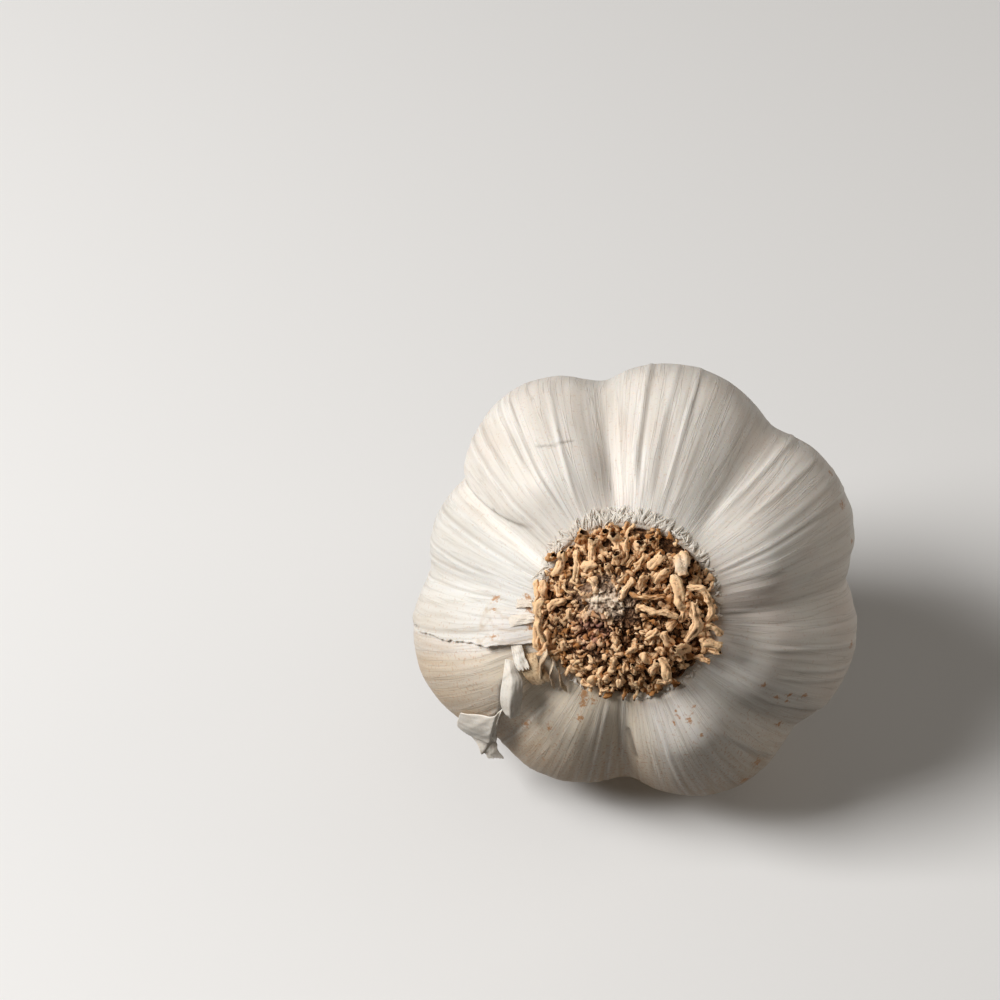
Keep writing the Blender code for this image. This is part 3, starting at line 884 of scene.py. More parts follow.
# %% The stubs that show best
# Each: (path as x, y and lift over the crust in mm, thickness, tone from 0 dark to 1 pale,
# hollow end or not). Paths start at the torn, outer end.
STUBS = (
    (((-5.8, 11.5, 1.3), (-6.1, 10.4, 1.3), (-6.4, 9.3, 0.9)), 1.25, 0.35, True),
    (((-4.5, 10.9, 1.7), (-4.5, 9.2, 1.6), (-4.4, 7.3, 1.0)), 1.3, 0.95, True),
    (((-2.9, 11.6, 1.3), (-3.1, 10.7, 1.2), (-3.3, 9.8, 0.7)), 1.05, 0.3, True),
    (((-1.5, 11.5, 1.9), (-1.4, 10.2, 1.8), (-1.3, 8.9, 1.2)), 1.4, 0.9, True),
    (((-1.4, 8.9, 1.4), (-1.2, 8.0, 1.4), (-1.0, 6.9, 0.8)), 1.2, 0.7, True),
    (((-0.1, 10.8, 1.4), (0.0, 9.6, 1.4), (-0.1, 8.4, 0.9)), 1.05, 0.85, True),
    (((0.1, 8.6, 1.1), (-0.3, 7.8, 1.0), (-0.8, 6.9, 0.6)), 0.8, 0.6, False),
    (((1.0, 11.0, 0.9), (1.0, 10.0, 0.9), (1.0, 9.0, 0.5)), 0.9, 0.3, True),
    (((2.1, 10.2, 1.3), (1.9, 9.4, 1.3), (1.7, 8.6, 0.9)), 1.25, 0.9, True),
    (((3.5, 10.5, 0.9), (3.6, 9.7, 0.9), (3.6, 8.8, 0.5)), 1.15, 0.35, True),
    (((5.0, 8.8, 1.7), (4.1, 7.6, 1.7), (3.1, 6.3, 1.0)), 1.15, 0.95, True),
    (((5.6, 6.9, 1.3), (4.7, 5.7, 1.4), (3.9, 4.4, 0.8)), 1.15, 0.9, True),
    (((2.5, 8.4, 1.0), (2.0, 7.5, 1.0), (1.5, 6.6, 0.6)), 1.05, 0.65, False),
    (((2.6, 6.4, 1.1), (2.1, 5.0, 1.0), (1.6, 3.6, 0.5)), 0.95, 0.6, True),
    (((0.8, 5.4, 0.9), (0.2, 4.1, 1.0), (-0.4, 2.7, 0.5)), 0.85, 0.9, False),
    (((0.9, 7.9, 0.8), (0.4, 7.3, 0.8), (0.0, 6.6, 0.4)), 0.75, 0.7, False),
    (((-4.3, 7.4, 1.3), (-4.9, 6.8, 1.3), (-5.7, 6.0, 0.8)), 1.5, 0.95, False),
    (((-6.7, 9.4, 1.2), (-6.6, 7.2, 1.2), (-6.9, 4.6, 0.7)), 0.9, 0.8, True),
    (((-7.6, 9.2, 0.8), (-7.5, 8.3, 0.8), (-7.4, 7.4, 0.4)), 0.9, 0.4, True),
    (((-8.4, 9.1, 1.5), (-8.7, 7.0, 1.6), (-10.0, 4.8, 0.9)), 1.15, 0.95, True),
    (((-9.8, 8.2, 0.8), (-10.2, 7.5, 0.8), (-10.7, 6.8, 0.5)), 1.1, 0.35, True),
    (((-11.4, 4.4, 1.2), (-11.2, 3.1, 1.3), (-10.8, 1.7, 0.8)), 1.1, 0.9, False),
    (((-8.2, 2.1, 1.0), (-9.4, 1.4, 1.2), (-10.7, 0.5, 0.9)), 1.05, 0.85, False),
    (((-9.5, 3.8, 0.7), (-9.1, 3.2, 0.8), (-8.6, 2.5, 0.5)), 0.9, 0.6, False),
    (((-7.4, 0.9, 0.7), (-7.6, 0.2, 0.8), (-7.9, -0.6, 0.4)), 0.8, 0.75, False),
    (((-5.7, 0.6, 0.7), (-5.5, -0.2, 0.8), (-5.4, -1.0, 0.4)), 0.8, 0.9, False),
    (((-4.8, 5.2, 0.8), (-4.5, 4.6, 0.9), (-4.1, 4.0, 0.5)), 1.0, 0.9, False),
    (((-6.0, 5.3, 0.6), (-5.2, 5.5, 0.7), (-4.4, 5.6, 0.4)), 0.6, 0.8, False),
    (((-2.6, 7.4, 0.7), (-2.3, 6.4, 0.8), (-2.4, 5.4, 0.3)), 0.9, 0.55, True),
    (((4.2, -1.6, 1.0), (3.5, -2.2, 1.2), (2.8, -2.9, 0.7)), 0.95, 0.8, False),
    (((1.8, -1.8, 0.7), (2.4, -2.2, 0.8), (2.9, -2.6, 0.5)), 0.65, 0.7, False),
    (((2.4, -4.8, 0.9), (2.6, -5.6, 1.2), (2.7, -6.5, 0.8)), 1.25, 0.85, False),
    (((4.4, -4.1, 0.9), (4.6, -4.8, 1.0), (4.8, -5.5, 0.6)), 0.85, 0.8, False),
    (((4.4, -5.6, 1.1), (3.9, -6.8, 1.4), (3.2, -8.1, 1.3)), 1.1, 0.85, True),
    (((4.0, -9.3, 1.5), (5.0, -9.4, 1.7), (6.0, -9.0, 1.5)), 0.8, 0.95, False),
    (((1.2, -3.9, 0.8), (0.7, -4.6, 0.9), (0.1, -5.4, 0.5)), 0.8, 0.6, False),
    (((1.1, -6.2, 0.9), (1.0, -7.1, 1.1), (0.8, -8.0, 0.9)), 0.9, 0.8, True),
    (((-0.1, -6.6, 0.7), (-0.3, -7.3, 0.8), (-0.5, -8.0, 0.6)), 0.8, 0.6, False),
    (((-1.5, -5.6, 0.7), (-1.7, -6.5, 0.8), (-2.0, -7.4, 0.5)), 0.8, 0.6, False),
    (((-1.5, -2.5, 0.7), (-1.4, -3.4, 0.9), (-1.4, -4.3, 0.5)), 0.85, 0.75, False),
    (((-8.5, -3.7, 0.8), (-8.4, -4.4, 0.9), (-8.2, -5.1, 0.5)), 0.9, 0.85, False),
    (((-11.4, 0.2, 1.0), (-12.1, -2.2, 1.1), (-11.9, -5.6, 0.9)), 0.95, 0.75, False),
    (((-10.4, -2.7, 0.9), (-11.1, -4.4, 1.2), (-11.8, -6.2, 1.1)), 1.15, 0.55, False),
    (((-12.1, 4.5, 1.0), (-12.2, 1.8, 1.1), (-12.4, -0.4, 0.9)), 0.7, 0.95, False),
    (((5.4, -1.6, 1.2), (6.1, -1.2, 1.4), (6.8, -0.8, 1.1)), 1.0, 0.75, False),
    (((5.0, -1.9, 1.2), (5.4, -3.0, 1.4), (5.9, -4.1, 1.0)), 1.15, 0.75, False),
    (((6.2, -3.8, 1.3), (7.3, -4.5, 1.6), (8.5, -5.0, 1.2)), 1.3, 1.0, True),
    (((7.7, 1.3, 1.6), (7.5, 0.4, 1.8), (7.1, -0.6, 1.5)), 1.0, 0.7, False),
    (((10.2, -3.2, 1.6), (10.3, -4.3, 1.7), (10.5, -5.4, 1.4)), 0.9, 0.6, False),
    (((12.8, -4.9, 2.2), (11.9, -5.0, 2.0), (10.9, -4.8, 1.5)), 0.9, 0.8, True),
    (((11.2, -6.3, 2.0), (10.1, -6.2, 1.7), (8.9, -5.8, 1.1)), 0.8, 0.6, False),
    (((7.0, -4.9, 1.0), (7.3, -5.5, 1.1), (7.7, -6.1, 0.8)), 0.9, 0.7, False),
    (((6.6, 7.9, 0.9), (6.3, 7.2, 0.9), (6.0, 6.4, 0.5)), 0.9, 0.4, True),
    (((7.1, 8.2, 1.2), (7.5, 6.9, 2.0), (7.6, 5.7, 1.3)), 2.0, 1.2, False),
    (((-5.0, -8.7, 1.0), (-4.6, -9.3, 1.1), (-4.1, -9.6, 0.7)), 1.05, 0.95, False),
    (((-3.9, -9.0, 0.8), (-3.6, -9.6, 1.0), (-3.4, -10.0, 0.7)), 0.8, 0.8, False),
    (((-2.9, -8.4, 0.9), (-2.5, -8.8, 1.0), (-2.2, -9.2, 0.6)), 0.9, 0.85, False),
    (((-1.3, -9.0, 1.0), (-0.9, -9.6, 1.2), (-0.8, -10.1, 0.8)), 0.95, 0.95, False),
    (((-6.2, -9.4, 1.0), (-5.2, -10.0, 1.1), (-4.3, -10.1, 0.9)), 0.75, 0.85, False),
    (((-7.6, -7.3, 0.7), (-7.3, -8.0, 0.8), (-6.9, -8.5, 0.5)), 0.85, 0.7, False),
    (((-3.6, -10.6, 0.9), (-3.0, -10.8, 1.0), (-2.4, -10.6, 0.7)), 0.75, 0.85, False),
)


def over_crust(path, thickness=0.0, hollow=False):
    path = np.array(path, float)
    path[:, 2] += plate_height(path[:, 0], path[:, 1])
    if hollow:
        path[0, :2] += 0.25 * (path[1, :2] - path[0, :2])
        path[0, 2] += 0.8 * thickness
    return path


SMALL_ROOTS, MAT_RADIUS, BARE_RADIUS = 640, 11.7, 2.2
TONES, TONE_CHANCES = (0.05, 0.35, 0.65, 0.95), (0.2, 0.25, 0.27, 0.28)


def make_stubs():
    rng = np.random.default_rng(41)
    big, small = ball_rows(20, 34), ball_rows(7, 9)
    shapes = [
        root_shape(big, over_crust(path, thickness, hollow), thickness, rng, hollow, 0.72, 1.55)
        for path, thickness, _, hollow in STUBS
    ]
    placed = many_roots("placed_stubs", big, shapes, [tone for _, _, tone, _ in STUBS])
    flat = np.concatenate([shape[0] for shape in shapes])
    tint_roots(placed, flat)
    shapes, tones = [], []
    for _ in range(SMALL_ROOTS):
        radius = MAT_RADIUS * math.sqrt(rng.uniform(0.03, 1.0))
        angle = rng.uniform(0.0, 2.0 * math.pi)
        x, y = radius * math.cos(angle), radius * math.sin(angle)
        if near(x, y, WOOLLY_SPOT, BARE_RADIUS) > 0.5:
            continue
        length = rng.uniform(0.5, 1.5) * (0.7 + radius / 16.0)
        heading = angle + rng.normal(0.0, 0.45) + (rng.uniform(0, 3.1) if radius < 5 else 0.0)
        step = np.array((math.cos(heading), math.sin(heading))) * length / 2
        lift = rng.uniform(0.2, 0.75)
        path = ((x + step[0], y + step[1], lift + rng.uniform(-0.1, 0.35)), (x, y, lift),
                (x - step[0], y - step[1], lift - 0.35))
        thickness = rng.uniform(0.38, 0.85)
        hollow, flatness = rng.uniform() < 0.4, rng.uniform(0.45, 0.9)
        shapes.append(root_shape(small, over_crust(path), thickness, rng, hollow, flatness, 2.3))
        tones.append(rng.choice(TONES, p=TONE_CHANCES))
    crumbly = many_roots("small_stubs", small, shapes, tones)
    tint_roots(crumbly, np.concatenate([shape[0] for shape in shapes]))
    mat = join([placed, crumbly], "root_stubs")
    face_outwards(mat)
    settle(mat, DRY_ROOT, "root_mat")


make_stubs()

# %% The long roots
LONG_ROOTS = (
    (
        "root_loop", 0.95, 0.85, False,
        ((8.0, 4.2, 4.5), (9.7, 4.2, 4.9), (10.9, 3.0, 4.8), (11.3, 1.1, 4.4), (10.8, -0.6, 4.0))
    ),
    (
        "root_strand_upper", 1.35, 0.85, False,
        ((6.4, 6.0, 4.3), (6.8, 4.3, 5.0), (7.2, 2.6, 5.3), (7.8, 1.2, 5.2))
    ),
    (
        "root_strand_middle", 1.3, 0.9, True,
        ((8.9, 2.3, 4.6), (9.3, 0.7, 4.9), (9.2, -0.9, 5.0), (8.0, -3.3, 4.6))
    ),
    (
        "root_strand_across", 0.7, 0.25, False,
        ((0.4, 3.4, 4.3), (2.2, 2.9, 4.9), (4.2, 3.1, 5.0), (5.4, 2.9, 4.8))
    ),
    (
        "root_strand_inner", 0.85, 0.9, False,
        ((1.6, 1.5, 4.3), (3.2, 1.1, 4.8), (5.1, 0.8, 4.9), (7.0, 0.3, 4.6))
    ),
    (
        "root_hook", 0.95, 0.75, False,
        ((10.0, -1.6, 3.9), (10.9, -1.2, 4.1), (12.1, -1.6, 3.9), (12.8, -2.5, 3.4))
    ),
    ("root_spur_right", 1.2, 0.8, True, ((12.6, -4.1, 3.4), (11.4, -3.7, 3.8), (10.2, -3.2, 3.9))),
    ("root_spur_low", 1.25, 0.85, True, ((5.7, -8.4, 4.2), (5.2, -6.9, 4.7), (4.6, -5.4, 4.3))),
    (
        "root_strand_left", 0.95, 0.9, False,
        ((-11.2, 2.6, 4.0), (-11.8, 0.6, 3.9), (-11.7, -1.6, 3.6), (-11.0, -3.8, 3.3))
    ),
)


def make_long_roots():
    rng = np.random.default_rng(8)
    ball = ball_rows(18, 60)
    for name, thickness, tone, hollow, path in LONG_ROOTS:
        shape = root_shape(ball, path, thickness, rng, hollow, 0.8, 1.25)
        piece = many_roots(name + "_dry", ball, [shape], [tone])
        tint_roots(piece, shape[0])
        face_outwards(piece)
        settle(piece, DRY_ROOT, name)


make_long_roots()

# %% [markdown]
# ## The ruff round the roots
#
# Where the skin's many layers end at the plate they fray into short pale fibres. They are
# densest above and to the left. Each one is the same ball again, pressed flat and drawn out
# to a point along the skin.

# %% Frayed ends of the skin
def fray_shape(ball, path, width, thickness, rng):
    """A flat, tapering strip along a path, closed all round."""
    turn, down, _ = ball
    path = np.asarray(path, float)
    along = down
    wide = np.interp(along, (0.0, 0.08, 0.4, 0.85, 1.0), (0.0, 0.75, 1.0, 0.55, 0.0))
    middle = smooth_rows(path, along)
    ahead = unit(smooth_rows(path, along + 0.05) - smooth_rows(path, along - 0.05))
    side = unit(np.cross(ahead, np.array((0.03, 0.01, 1.0))))
    up = np.cross(side, ahead)
    curl = rng.uniform(-0.5, 0.5)
    across = wide * width * 0.5 * np.cos(turn)
    lift = wide * thickness * np.sin(turn) + curl * across**2 / width
    points = middle + side * across[:, None] + up * lift[:, None]
    wrinkle = 0.5 + 0.5 * np.cos(turn * 2.0 + 7.0 * along)
    return points, 0.0 * along, wrinkle


def on_skin(degrees, share, lift):
    """A point in mm this far above the finished skin."""
    angle, share = np.radians(degrees), np.asarray(share, float)
    here, out, radius = skin_frame(angle, share)
    height, _, _ = skin_relief(angle, share, radius)
    return here + out * (height + lift)[:, None]


RUFF_FIBRES, RUFF_MIDDLE_DEG, RUFF_SPREAD_DEG = 950, 105.0, 62.0
RUFF_WIDTHS, GOLDEN_ANGLE_DEG = (0.14, 0.24, 0.5), 137.508


def make_ruff():
    rng = np.random.default_rng(77)
    ball = ball_rows(8, 9)
    shapes, tones = [], []
    for index in range(RUFF_FIBRES):
        degrees = (index * GOLDEN_ANGLE_DEG) % 360.0
        crowd = 0.06 + 0.94 * math.exp(-((degrees - RUFF_MIDDLE_DEG) / RUFF_SPREAD_DEG) ** 2)
        if rng.uniform() > crowd:
            continue
        reach = rng.uniform(0.006, 0.020) * (0.6 + crowd)
        bend = rng.normal(0.0, 5.0)
        lifts = (-0.3, rng.uniform(0.10, 0.35), rng.uniform(0.0, 0.45) * crowd)
        shares = (0.206, 0.217 + 0.4 * reach, 0.217 + reach)
        path = on_skin((degrees, degrees + 0.4 * bend, degrees + bend), shares, lifts)
        shapes.append(fray_shape(ball, path, rng.choice(RUFF_WIDTHS), 0.07, rng))
        tones.append(rng.uniform(0.5, 1.0))
    ruff = many_roots("skin_ruff", ball, shapes, tones)
    face_outwards(ruff)
    settle(ruff, TORN_SKIN)


def torn_material():
    """Thin torn skin: white where it's fresh, golden-brown where it is old and layered."""
    finish, tree, shader = new_material("torn_skin", 0.6, 0.2)
    spots = use_group(tree, MOTTLE, {"Coarse": 420.0, "Grain": 3000.0}).outputs
    colour = blend_colours(
        tree, remap(tree, spots["Blotch"], 0.3, 0.7), (0.86, 0.82, 0.75, 1), (0.80, 0.73, 0.64, 1)
    )
    gold = blend_colours(
        tree, remap(tree, spots["Blotch"], 0.35, 0.65), (0.46, 0.28, 0.13, 1), (0.80, 0.61, 0.39, 1)
    )
    gold = blend_colours(tree, remap(tree, spots["Grain"], 0.46, 0.70, 0.0, 0.7), gold, (0.28, 0.14, 0.05, 1))
    colour = blend_colours(tree, number(tree, "gold"), colour, gold)
    colour = blend_colours(tree, remap(tree, spots["Grain"], 0.5, 0.8, 0.0, 0.3), colour, SHADE_AND_DARK_MARKS)
    relief = bump(tree, spots["Blotch"], 0.12, 0.6)
    relief = bump(tree, spots["Grain"], 0.04, 0.7, relief)
    roughness = remap(tree, spots["Blotch"], 0.3, 0.7, 0.5, 0.68)
    connect(tree, shader, colour, relief, roughness)
    soften(shader, 0.12, 0.2, (1.0, 0.75, 0.55))
    return finish


TORN_SKIN = torn_material()
make_ruff()

# %% [markdown]
# ## Torn layers
#
# On the left the outermost skin has split. It ends in a ragged edge that stands a little off
# the layer under it, and the shadow in that gap is what tells the layers apart. So it's a
# real sheet with a thickness: a grid is laid over the skin, its border sinks below the
# surface where the two layers are still one, and its torn edge lifts.

# %% Sheets over the skin
TORN_EDGE = ((0.215, 200.5), (0.24, 199.0), (0.256, 198.0), (0.276, 196.5), (0.318, 194.0),
             (0.376, 193.0), (0.44, 191.0), (0.55, 190.0), (0.64, 189.5))


WRAPPER_START_DEG, WRAPPER_SHARE, WRAPPER_LENGTH = 152.0, 0.214, 0.40
WRAPPER_THICKNESS, FLAKE_THICKNESS = 0.12, 0.13


def make_wrapper():
    piece = start_piece(
        "outer_wrapper", bpy.ops.mesh.primitive_grid_add,
        x_subdivisions=110, y_subdivisions=190, size=2.0,
    )
    grid = points_of(piece.data)
    u, v = (grid[:, 0] + 1.0) / 2.0, (grid[:, 1] + 1.0) / 2.0
    share = WRAPPER_SHARE + WRAPPER_LENGTH * v
    edge = np.interp(share, *zip(*TORN_EDGE))
    ragged = np.array([
        noise.noise((40.0 * s, 0.0, 0.0)) + 0.6 * noise.noise((130.0 * s, 3.0, 0.0)) for s in share
    ])
    edge = edge + 0.9 * ragged
    angle = np.radians(WRAPPER_START_DEG + (edge - WRAPPER_START_DEG) * u)
    here, out, radius = skin_frame(angle, share)
    height, pale, shade = skin_relief(angle, share, radius)
    lift = 0.30 * smoothstep(0.0, 0.35, u) * (1.0 - smoothstep(0.75, 1.0, v)) - 0.16
    gape = 0.15 + 0.65 * np.exp(-(((share - 0.275) / 0.022) ** 2)) + 0.2 * np.maximum(ragged, 0.0)
    lift += gape * smoothstep(0.86, 1.0, u) ** 2 * (1.0 - smoothstep(0.6, 0.95, v))
    scar = smoothstep(0.62, 0.72, u) * (1.0 - smoothstep(0.300, 0.306, share + 0.004 * ragged))
    strips = np.sin(26.0 * u + 2.0 * ragged)
    lift += scar * (0.16 + 0.10 * np.abs(strips))
    set_points(piece.data, laid_down(here + out * (height + lift)[:, None]))
    paint_skin(piece.data, angle, share, radius, pale, shade)
    _, tan, blush, _ = tints(angle, share, radius)
    set_numbers(piece.data, "inner", 0.0 * u)
    scar_rim = scar * smoothstep(0.290, 0.299, share + 0.004 * ragged)
    set_numbers(piece.data, "tan", tan + 0.30 * scar * (np.abs(strips) < 0.35) + 0.35 * scar_rim)
    set_numbers(piece.data, "blush", blush * 0.5 + 1.3 * scar)
    set_numbers(piece.data, "pale", pale + 0.5 * scar * (np.abs(strips) > 0.5))
    thicken(piece, WRAPPER_THICKNESS)
    face_outwards(piece)
    settle(piece, PAPERY_SKIN)


make_wrapper()

# %% Torn flakes
# Each: (name, gold from 0 to 1, height of the fold in mm, raggedness, edge, other edge). The
# sheet spans the two edges, which are drawn as (degrees, share, lift in mm).
FLAKES = (
    ("skin_curl", 0.0, 0.95, 0.05,
     (
         (202.5, 0.272, 0.7), (205.5, 0.276, 1.0), (209.0, 0.283, 1.2), (214.0, 0.297, 1.3),
         (219.5, 0.314, 1.3)
     ),
     (
         (204.5, 0.264, 0.7), (209.0, 0.265, 1.2), (213.5, 0.267, 1.6), (218.5, 0.281, 1.7),
         (223.5, 0.306, 1.5)
     )),
    ("skin_flap", 0.0, 0.10, 0.03,
     (
         (215.5, 0.398, 0.5), (217.5, 0.372, 0.4), (219.5, 0.350, 0.4), (219.5, 0.330, 0.6),
         (219.0, 0.315, 0.8)
     ),
     (
         (219.5, 0.446, 1.1), (223.0, 0.428, 1.5), (226.5, 0.408, 1.8), (227.5, 0.399, 1.9),
         (225.0, 0.388, 1.6)
     )),
    ("skin_scrap", 0.0, 0.10, 0.06,
     (
         (221.5, 0.446, 0.5), (224.0, 0.447, 1.4), (226.5, 0.447, 2.4), (229.5, 0.450, 2.8),
         (232.5, 0.452, 2.8)
     ),
     (
         (226.0, 0.430, 0.4), (228.5, 0.436, 0.6), (231.0, 0.442, 0.9), (233.0, 0.448, 1.2),
         (235.0, 0.453, 1.4)
     )),
    ("torn_white", 0.0, 0.15, 0.16,
     ((197.5, 0.262, 0.5), (201.0, 0.262, 0.9), (205.0, 0.263, 1.3), (209.5, 0.263, 1.6)),
     ((198.5, 0.249, 0.5), (202.0, 0.249, 0.9), (206.0, 0.249, 1.4), (210.5, 0.249, 1.8))),
    ("torn_gold", 1.0, 0.25, 0.12,
     ((204.0, 0.246, 0.6), (208.0, 0.258, 0.9), (213.0, 0.262, 0.9), (219.0, 0.262, 0.7)),
     ((205.0, 0.234, 0.7), (210.5, 0.237, 1.3), (216.0, 0.234, 1.5), (223.0, 0.236, 1.1))),
    ("gold_strip_upper", 0.85, 0.2, 0.10,
     ((221.0, 0.256, 1.0), (216.0, 0.247, 1.6), (211.5, 0.237, 1.9), (206.0, 0.228, 1.5)),
     ((219.0, 0.246, 1.3), (214.0, 0.237, 2.0), (209.5, 0.228, 2.2), (204.0, 0.221, 1.7))),
    ("gold_strip_lower", 0.7, 0.2, 0.10,
     ((228.0, 0.250, 0.6), (223.5, 0.243, 1.2), (219.0, 0.234, 1.5), (214.0, 0.226, 1.2)),
     ((225.5, 0.241, 0.9), (221.0, 0.234, 1.6), (216.5, 0.226, 1.9), (211.0, 0.221, 1.5))),
    ("gold_strip_last", 0.9, 0.2, 0.12,
     ((235.0, 0.243, 0.4), (230.5, 0.238, 0.9), (226.0, 0.231, 1.2), (221.0, 0.225, 1.0)),
     ((232.5, 0.235, 0.6), (228.0, 0.230, 1.2), (223.5, 0.224, 1.6), (218.0, 0.220, 1.3))),
    ("fringe_left", 0.25, 0.2, 0.14,
     ((176.0, 0.254, 0.5), (175.0, 0.242, 0.7), (174.0, 0.232, 0.8), (173.0, 0.221, 0.9)),
     ((181.0, 0.254, 0.5), (180.0, 0.242, 0.8), (179.0, 0.232, 1.0), (178.0, 0.221, 1.0))),
    ("fringe_low", 0.15, 0.2, 0.14,
     ((184.5, 0.264, 0.4), (184.0, 0.248, 0.7), (183.0, 0.234, 0.9), (182.0, 0.221, 1.0)),
     ((190.0, 0.264, 0.4), (189.0, 0.248, 0.8), (188.0, 0.234, 1.1), (187.0, 0.221, 1.1))),
)


def make_sheet(name, gold, fold, ragged, edge_a, edge_b, seed):
    piece = start_piece(
        name, bpy.ops.mesh.primitive_grid_add, x_subdivisions=30, y_subdivisions=44, size=2.0
    )
    grid = points_of(piece.data)
    u, v = (grid[:, 0] + 1.0) / 2.0, (grid[:, 1] + 1.0) / 2.0
    rough = np.array([
        noise.noise((9.0 * a, seed * 3.7, 0.0)) + 0.8 * noise.noise((27.0 * a, seed, 5.0)) for a in u
    ])
    sway = np.array([noise.noise((2.0 * a, 3.5 * b, seed * 2.3)) for a, b in zip(u, v)])
    v = v * (1.0 - ragged * (0.5 + rough))
    edges = smooth_rows(edge_a, v) * (1.0 - u)[:, None] + smooth_rows(edge_b, v) * u[:, None]
    along = smoothstep(0.0, 0.25, v)
    lift = edges[:, 2] + fold * (1.0 - np.abs(2.0 * u - 1.0) ** 1.15) * along + 0.22 * sway * along
    lift += 0.015 * np.sin(31.0 * u + 4.0 * sway) + 0.02 * rough
    set_points(piece.data, laid_down(on_skin(edges[:, 0], edges[:, 1], lift)))
    tear = np.exp(-((1.0 - v) / 0.12)) * 0.3
    set_numbers(piece.data, "gold", np.clip(gold - tear * gold, 0.0, 1.0))
    thicken(piece, FLAKE_THICKNESS)
    return piece


def make_flakes():
    made = {}
    for seed, (name, gold, fold, ragged, edge_a, edge_b) in enumerate(FLAKES, 1):
        made[name] = make_sheet(name, gold, fold, ragged, edge_a, edge_b, seed)
    tatter = [made[name] for name in made if name.startswith(("torn", "gold", "fringe"))]
    tatter = join(tatter, "torn_tatter")
    face_outwards(tatter)
    settle(tatter, TORN_SKIN, "skin_tatter")
    for name in ("skin_curl", "skin_flap", "skin_scrap"):
        made[name].name = made[name].data.name = name.replace("skin", "torn")
        face_outwards(made[name])
        settle(made[name], TORN_SKIN, name)


make_flakes()

# %% [markdown]
# ## The neck
#
# The stalk was cut a few centimetres above the bulb and dried. Its leaf bases are wrapped
# round each other, so the wall is fluted with coarse fibres that wind slightly, and the cut
# end shows the layers as rings that stand at different heights.

# %% The dry neck
NECK_PATH = (((0.0, 0.0, -48.6), 7.0), ((0.0, 0.0, -50.4), 6.9), ((0.1, -0.1, -52.6), 6.6),
             ((0.2, -0.2, -55.5), 5.9), ((0.4, -0.2, -59.0), 5.3), ((0.6, -0.1, -62.5), 4.9),
             ((0.9, 0.1, -66.0), 4.6), ((1.2, 0.3, -69.0), 4.5))
NECK_LAYERS, CUT_STARTS = 4, 0.72


def make_neck():
    piece = start_piece(
        "neck_sheath", bpy.ops.mesh.primitive_uv_sphere_add,
        segments=180, ring_count=220, radius=1.0,
    )
    angle, down = ball_places(piece.data)
    along = np.clip((down - 0.06) / 0.66, 0.0, 1.0)
    middle = smooth_rows([point for point, _ in NECK_PATH], along)
    reach = smooth_rows([[radius] for _, radius in NECK_PATH], along)[:, 0]
    wind = angle + 0.35 * along + 0.12 * waves(angle, along, 31, 4, 1.5)
    folds = np.abs(np.sin(3.5 * wind + 0.4)) - 0.6
    fibre = waves(wind, along * 0.6, 32, 60, 1.2, 24)
    coarse = waves(wind, along * 0.8, 33, 18, 1.5, 18)
    wall = band(0.06, 0.10, CUT_STARTS, CUT_STARTS + 0.02, down)
    reach = reach + wall * (0.55 * folds + 0.14 * coarse + 0.07 * fibre)
    cap = smoothstep(0.0, 0.06, down)
    inner = np.clip((1.0 - down) / 0.28, 0.0, 1.0)
    wobble = 0.8 * np.sin(angle + 1.0) + 0.5 * np.sin(3.0 * angle)
    rings = np.cos(2.0 * math.pi * NECK_LAYERS * inner + wobble)
    ragged = waves(angle, 0.0 * angle, 34, 30, 1.0, 20)
    cut = smoothstep(CUT_STARTS, CUT_STARTS + 0.025, down)
    reach = reach * cap * np.where(down > CUT_STARTS, inner, 1.0)
    points = middle + round_axis(angle, reach, 0.0 * reach)
    points[:, 2] += cut * (0.55 - 0.45 * rings - 0.10 * ragged + 1.0 * (1.0 - inner))
    set_points(piece.data, laid_down(points))
    set_numbers(piece.data, "fibre", np.stack([np.cos(wind), np.sin(wind), along * 1.2], axis=-1))
    # Painted shade in the valleys of the wall's folds, and dark bands on the cut end's rings.
    depth = wall * (0.45 - 0.7 * folds - 0.2 * coarse) + cut * (0.4 + 0.5 * rings)
    set_numbers(piece.data, "depth", np.clip(depth, 0.0, 1.0))
    set_numbers(piece.data, "pale", cut * np.clip(0.6 - 0.5 * rings, 0.0, 1.0))
    face_outwards(piece)
    settle(piece, neck_material(), "neck")


def neck_material():
    finish, tree, shader = new_material("dry_neck", 0.65, 0.22)
    fibre = put(tree, "ShaderNodeAttribute", attribute_name="fibre").outputs["Vector"]
    streaks = use_group(tree, STREAKS, {"Fibre": fibre, "Fineness": 0.8}).outputs
    spots = use_group(tree, MOTTLE, {"Coarse": 260.0, "Grain": 2400.0}).outputs
    colour = blend_colours(
        tree, remap(tree, streaks["Wide"], 0.35, 0.65), (0.62, 0.47, 0.31, 1), (0.72, 0.61, 0.47, 1)
    )
    colour = blend_colours(
        tree, remap(tree, streaks["Fine"], 0.45, 0.7, 0.0, 0.7), colour, (0.36, 0.23, 0.12, 1)
    )
    colour = blend_colours(
        tree, remap(tree, spots["Blotch"], 0.5, 0.75, 0.0, 0.5), colour, (0.42, 0.28, 0.16, 1)
    )
    colour = blend_colours(tree, number(tree, "pale"), colour, (0.80, 0.70, 0.52, 1))
    # The depth number darkens the folds as painted shade, and bands the cut end's rings.
    depth = remap(tree, number(tree, "depth"), 0.35, 1.0, 0.0, 0.75)
    colour = blend_colours(tree, depth, colour, (0.22, 0.13, 0.065, 1))
    relief = bump(tree, streaks["Fine"], 0.20, 0.8)
    relief = bump(tree, spots["Grain"], 0.05, 0.7, relief)
    roughness = remap(tree, streaks["Fine"], 0.3, 0.7, 0.55, 0.75)
    connect(tree, shader, colour, relief, roughness)
    soften(shader, 0.2, 1.0, (1.0, 0.65, 0.4))
    return finish


make_neck()

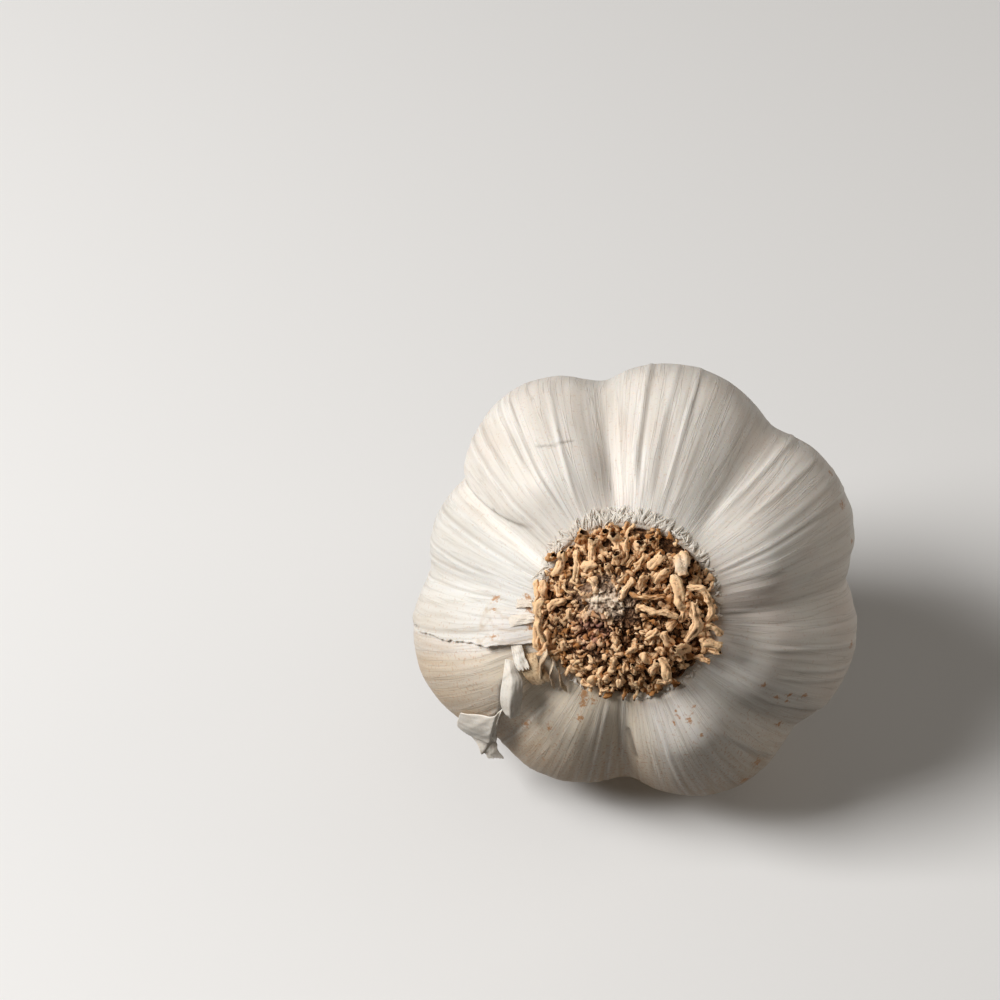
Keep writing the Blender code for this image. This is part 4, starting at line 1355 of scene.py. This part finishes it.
# %% [markdown]
# ## Studio
#
# The floor is plain and pale. One large soft lamp stands to the left of the camera, a little
# above it, and does nearly all the work: the left cloves glow and the right ones fall into
# warm shade. The sky gives the rest.

# %% Camera, floor and lights
VIEW_BELOW_DEG, VIEW_TURN_DEG = 12.41, -2.20
VIEW_DISTANCE, VIEW_LENS, SENSOR = 0.450, 115.09, 36.0
FRAME_RIGHT, FRAME_DOWN = 0.1329, 0.0791
FLOOR_WHITE, SKY_COLOUR, SKY_STRENGTH = (0.86, 0.86, 0.86, 1), (1.0, 0.93, 0.84, 1), 0.105


def camera_axes():
    """The camera's right, up and backward directions in the world, and what it looks at."""
    below, turn = math.radians(VIEW_BELOW_DEG), math.radians(VIEW_TURN_DEG)
    right = Vector((math.cos(turn), 0.0, math.sin(turn)))
    back = Vector((-math.sin(turn) * math.cos(below), math.sin(below), math.cos(turn) * math.cos(below)))
    up = back.cross(right)
    turn_world = LIE_DOWN.to_3x3()
    target = LIE_DOWN @ Vector((0.0, 0.0, BELLY_HEIGHT * MM))
    return turn_world @ right, turn_world @ up, turn_world @ back, target


def add_camera():
    right, up, back, target = camera_axes()
    data = bpy.data.cameras.new("view")
    data.lens, data.sensor_width = VIEW_LENS, SENSOR
    data.clip_start = 0.01
    camera = bpy.data.objects.new("view", data)
    bpy.context.scene.collection.objects.link(camera)
    facing = Matrix((right, up, back)).transposed()
    focal = VIEW_LENS / SENSOR
    aim = Matrix.Rotation(math.atan(FRAME_RIGHT / focal), 3, "Y")
    aim = aim @ Matrix.Rotation(math.atan(FRAME_DOWN / focal), 3, "X")
    camera.matrix_world = Matrix.Translation(target + back * VIEW_DISTANCE) @ (facing @ aim).to_4x4()
    bpy.context.scene.camera = camera
    print("camera elevation:", round(math.degrees(math.asin(back.z)), 1))


def add_lamp(name, to_right, to_up, to_back, size, power, colour):
    """A square lamp whose place is given from the camera's point of view, in metres."""
    right, up, back, target = camera_axes()
    data = bpy.data.lights.new(name, "AREA")
    data.shape, data.size, data.energy, data.color = "SQUARE", size, power, colour
    lamp = bpy.data.objects.new(name, data)
    bpy.context.scene.collection.objects.link(lamp)
    place = target + right * to_right + up * to_up + back * to_back
    facing = (place - target).to_track_quat("Z", "Y").to_matrix().to_4x4()
    lamp.matrix_world = Matrix.Translation(place) @ facing


def add_floor():
    piece = start_piece("floor", bpy.ops.mesh.primitive_plane_add, size=6.0)
    finish, _, shader = new_material("pale_floor", 0.9, 0.1)
    shader.inputs["Base Color"].default_value = FLOOR_WHITE
    piece.data.materials.append(finish)
    piece.visible_diffuse = False


add_camera()
add_floor()
add_lamp("soft_key", -0.56, 0.31, 0.50, 0.38, 7.6, (1.0, 0.985, 0.965))
add_lamp("rim_glow", 0.62, 0.20, 0.00, 0.40, 0.8, (1.0, 0.94, 0.86))
world = bpy.data.worlds.new("sky")
bpy.context.scene.world = world
world.use_nodes = True
world.node_tree.nodes["Background"].inputs["Color"].default_value = SKY_COLOUR
world.node_tree.nodes["Background"].inputs["Strength"].default_value = SKY_STRENGTH
bpy.context.scene.view_settings.view_transform = "Standard"
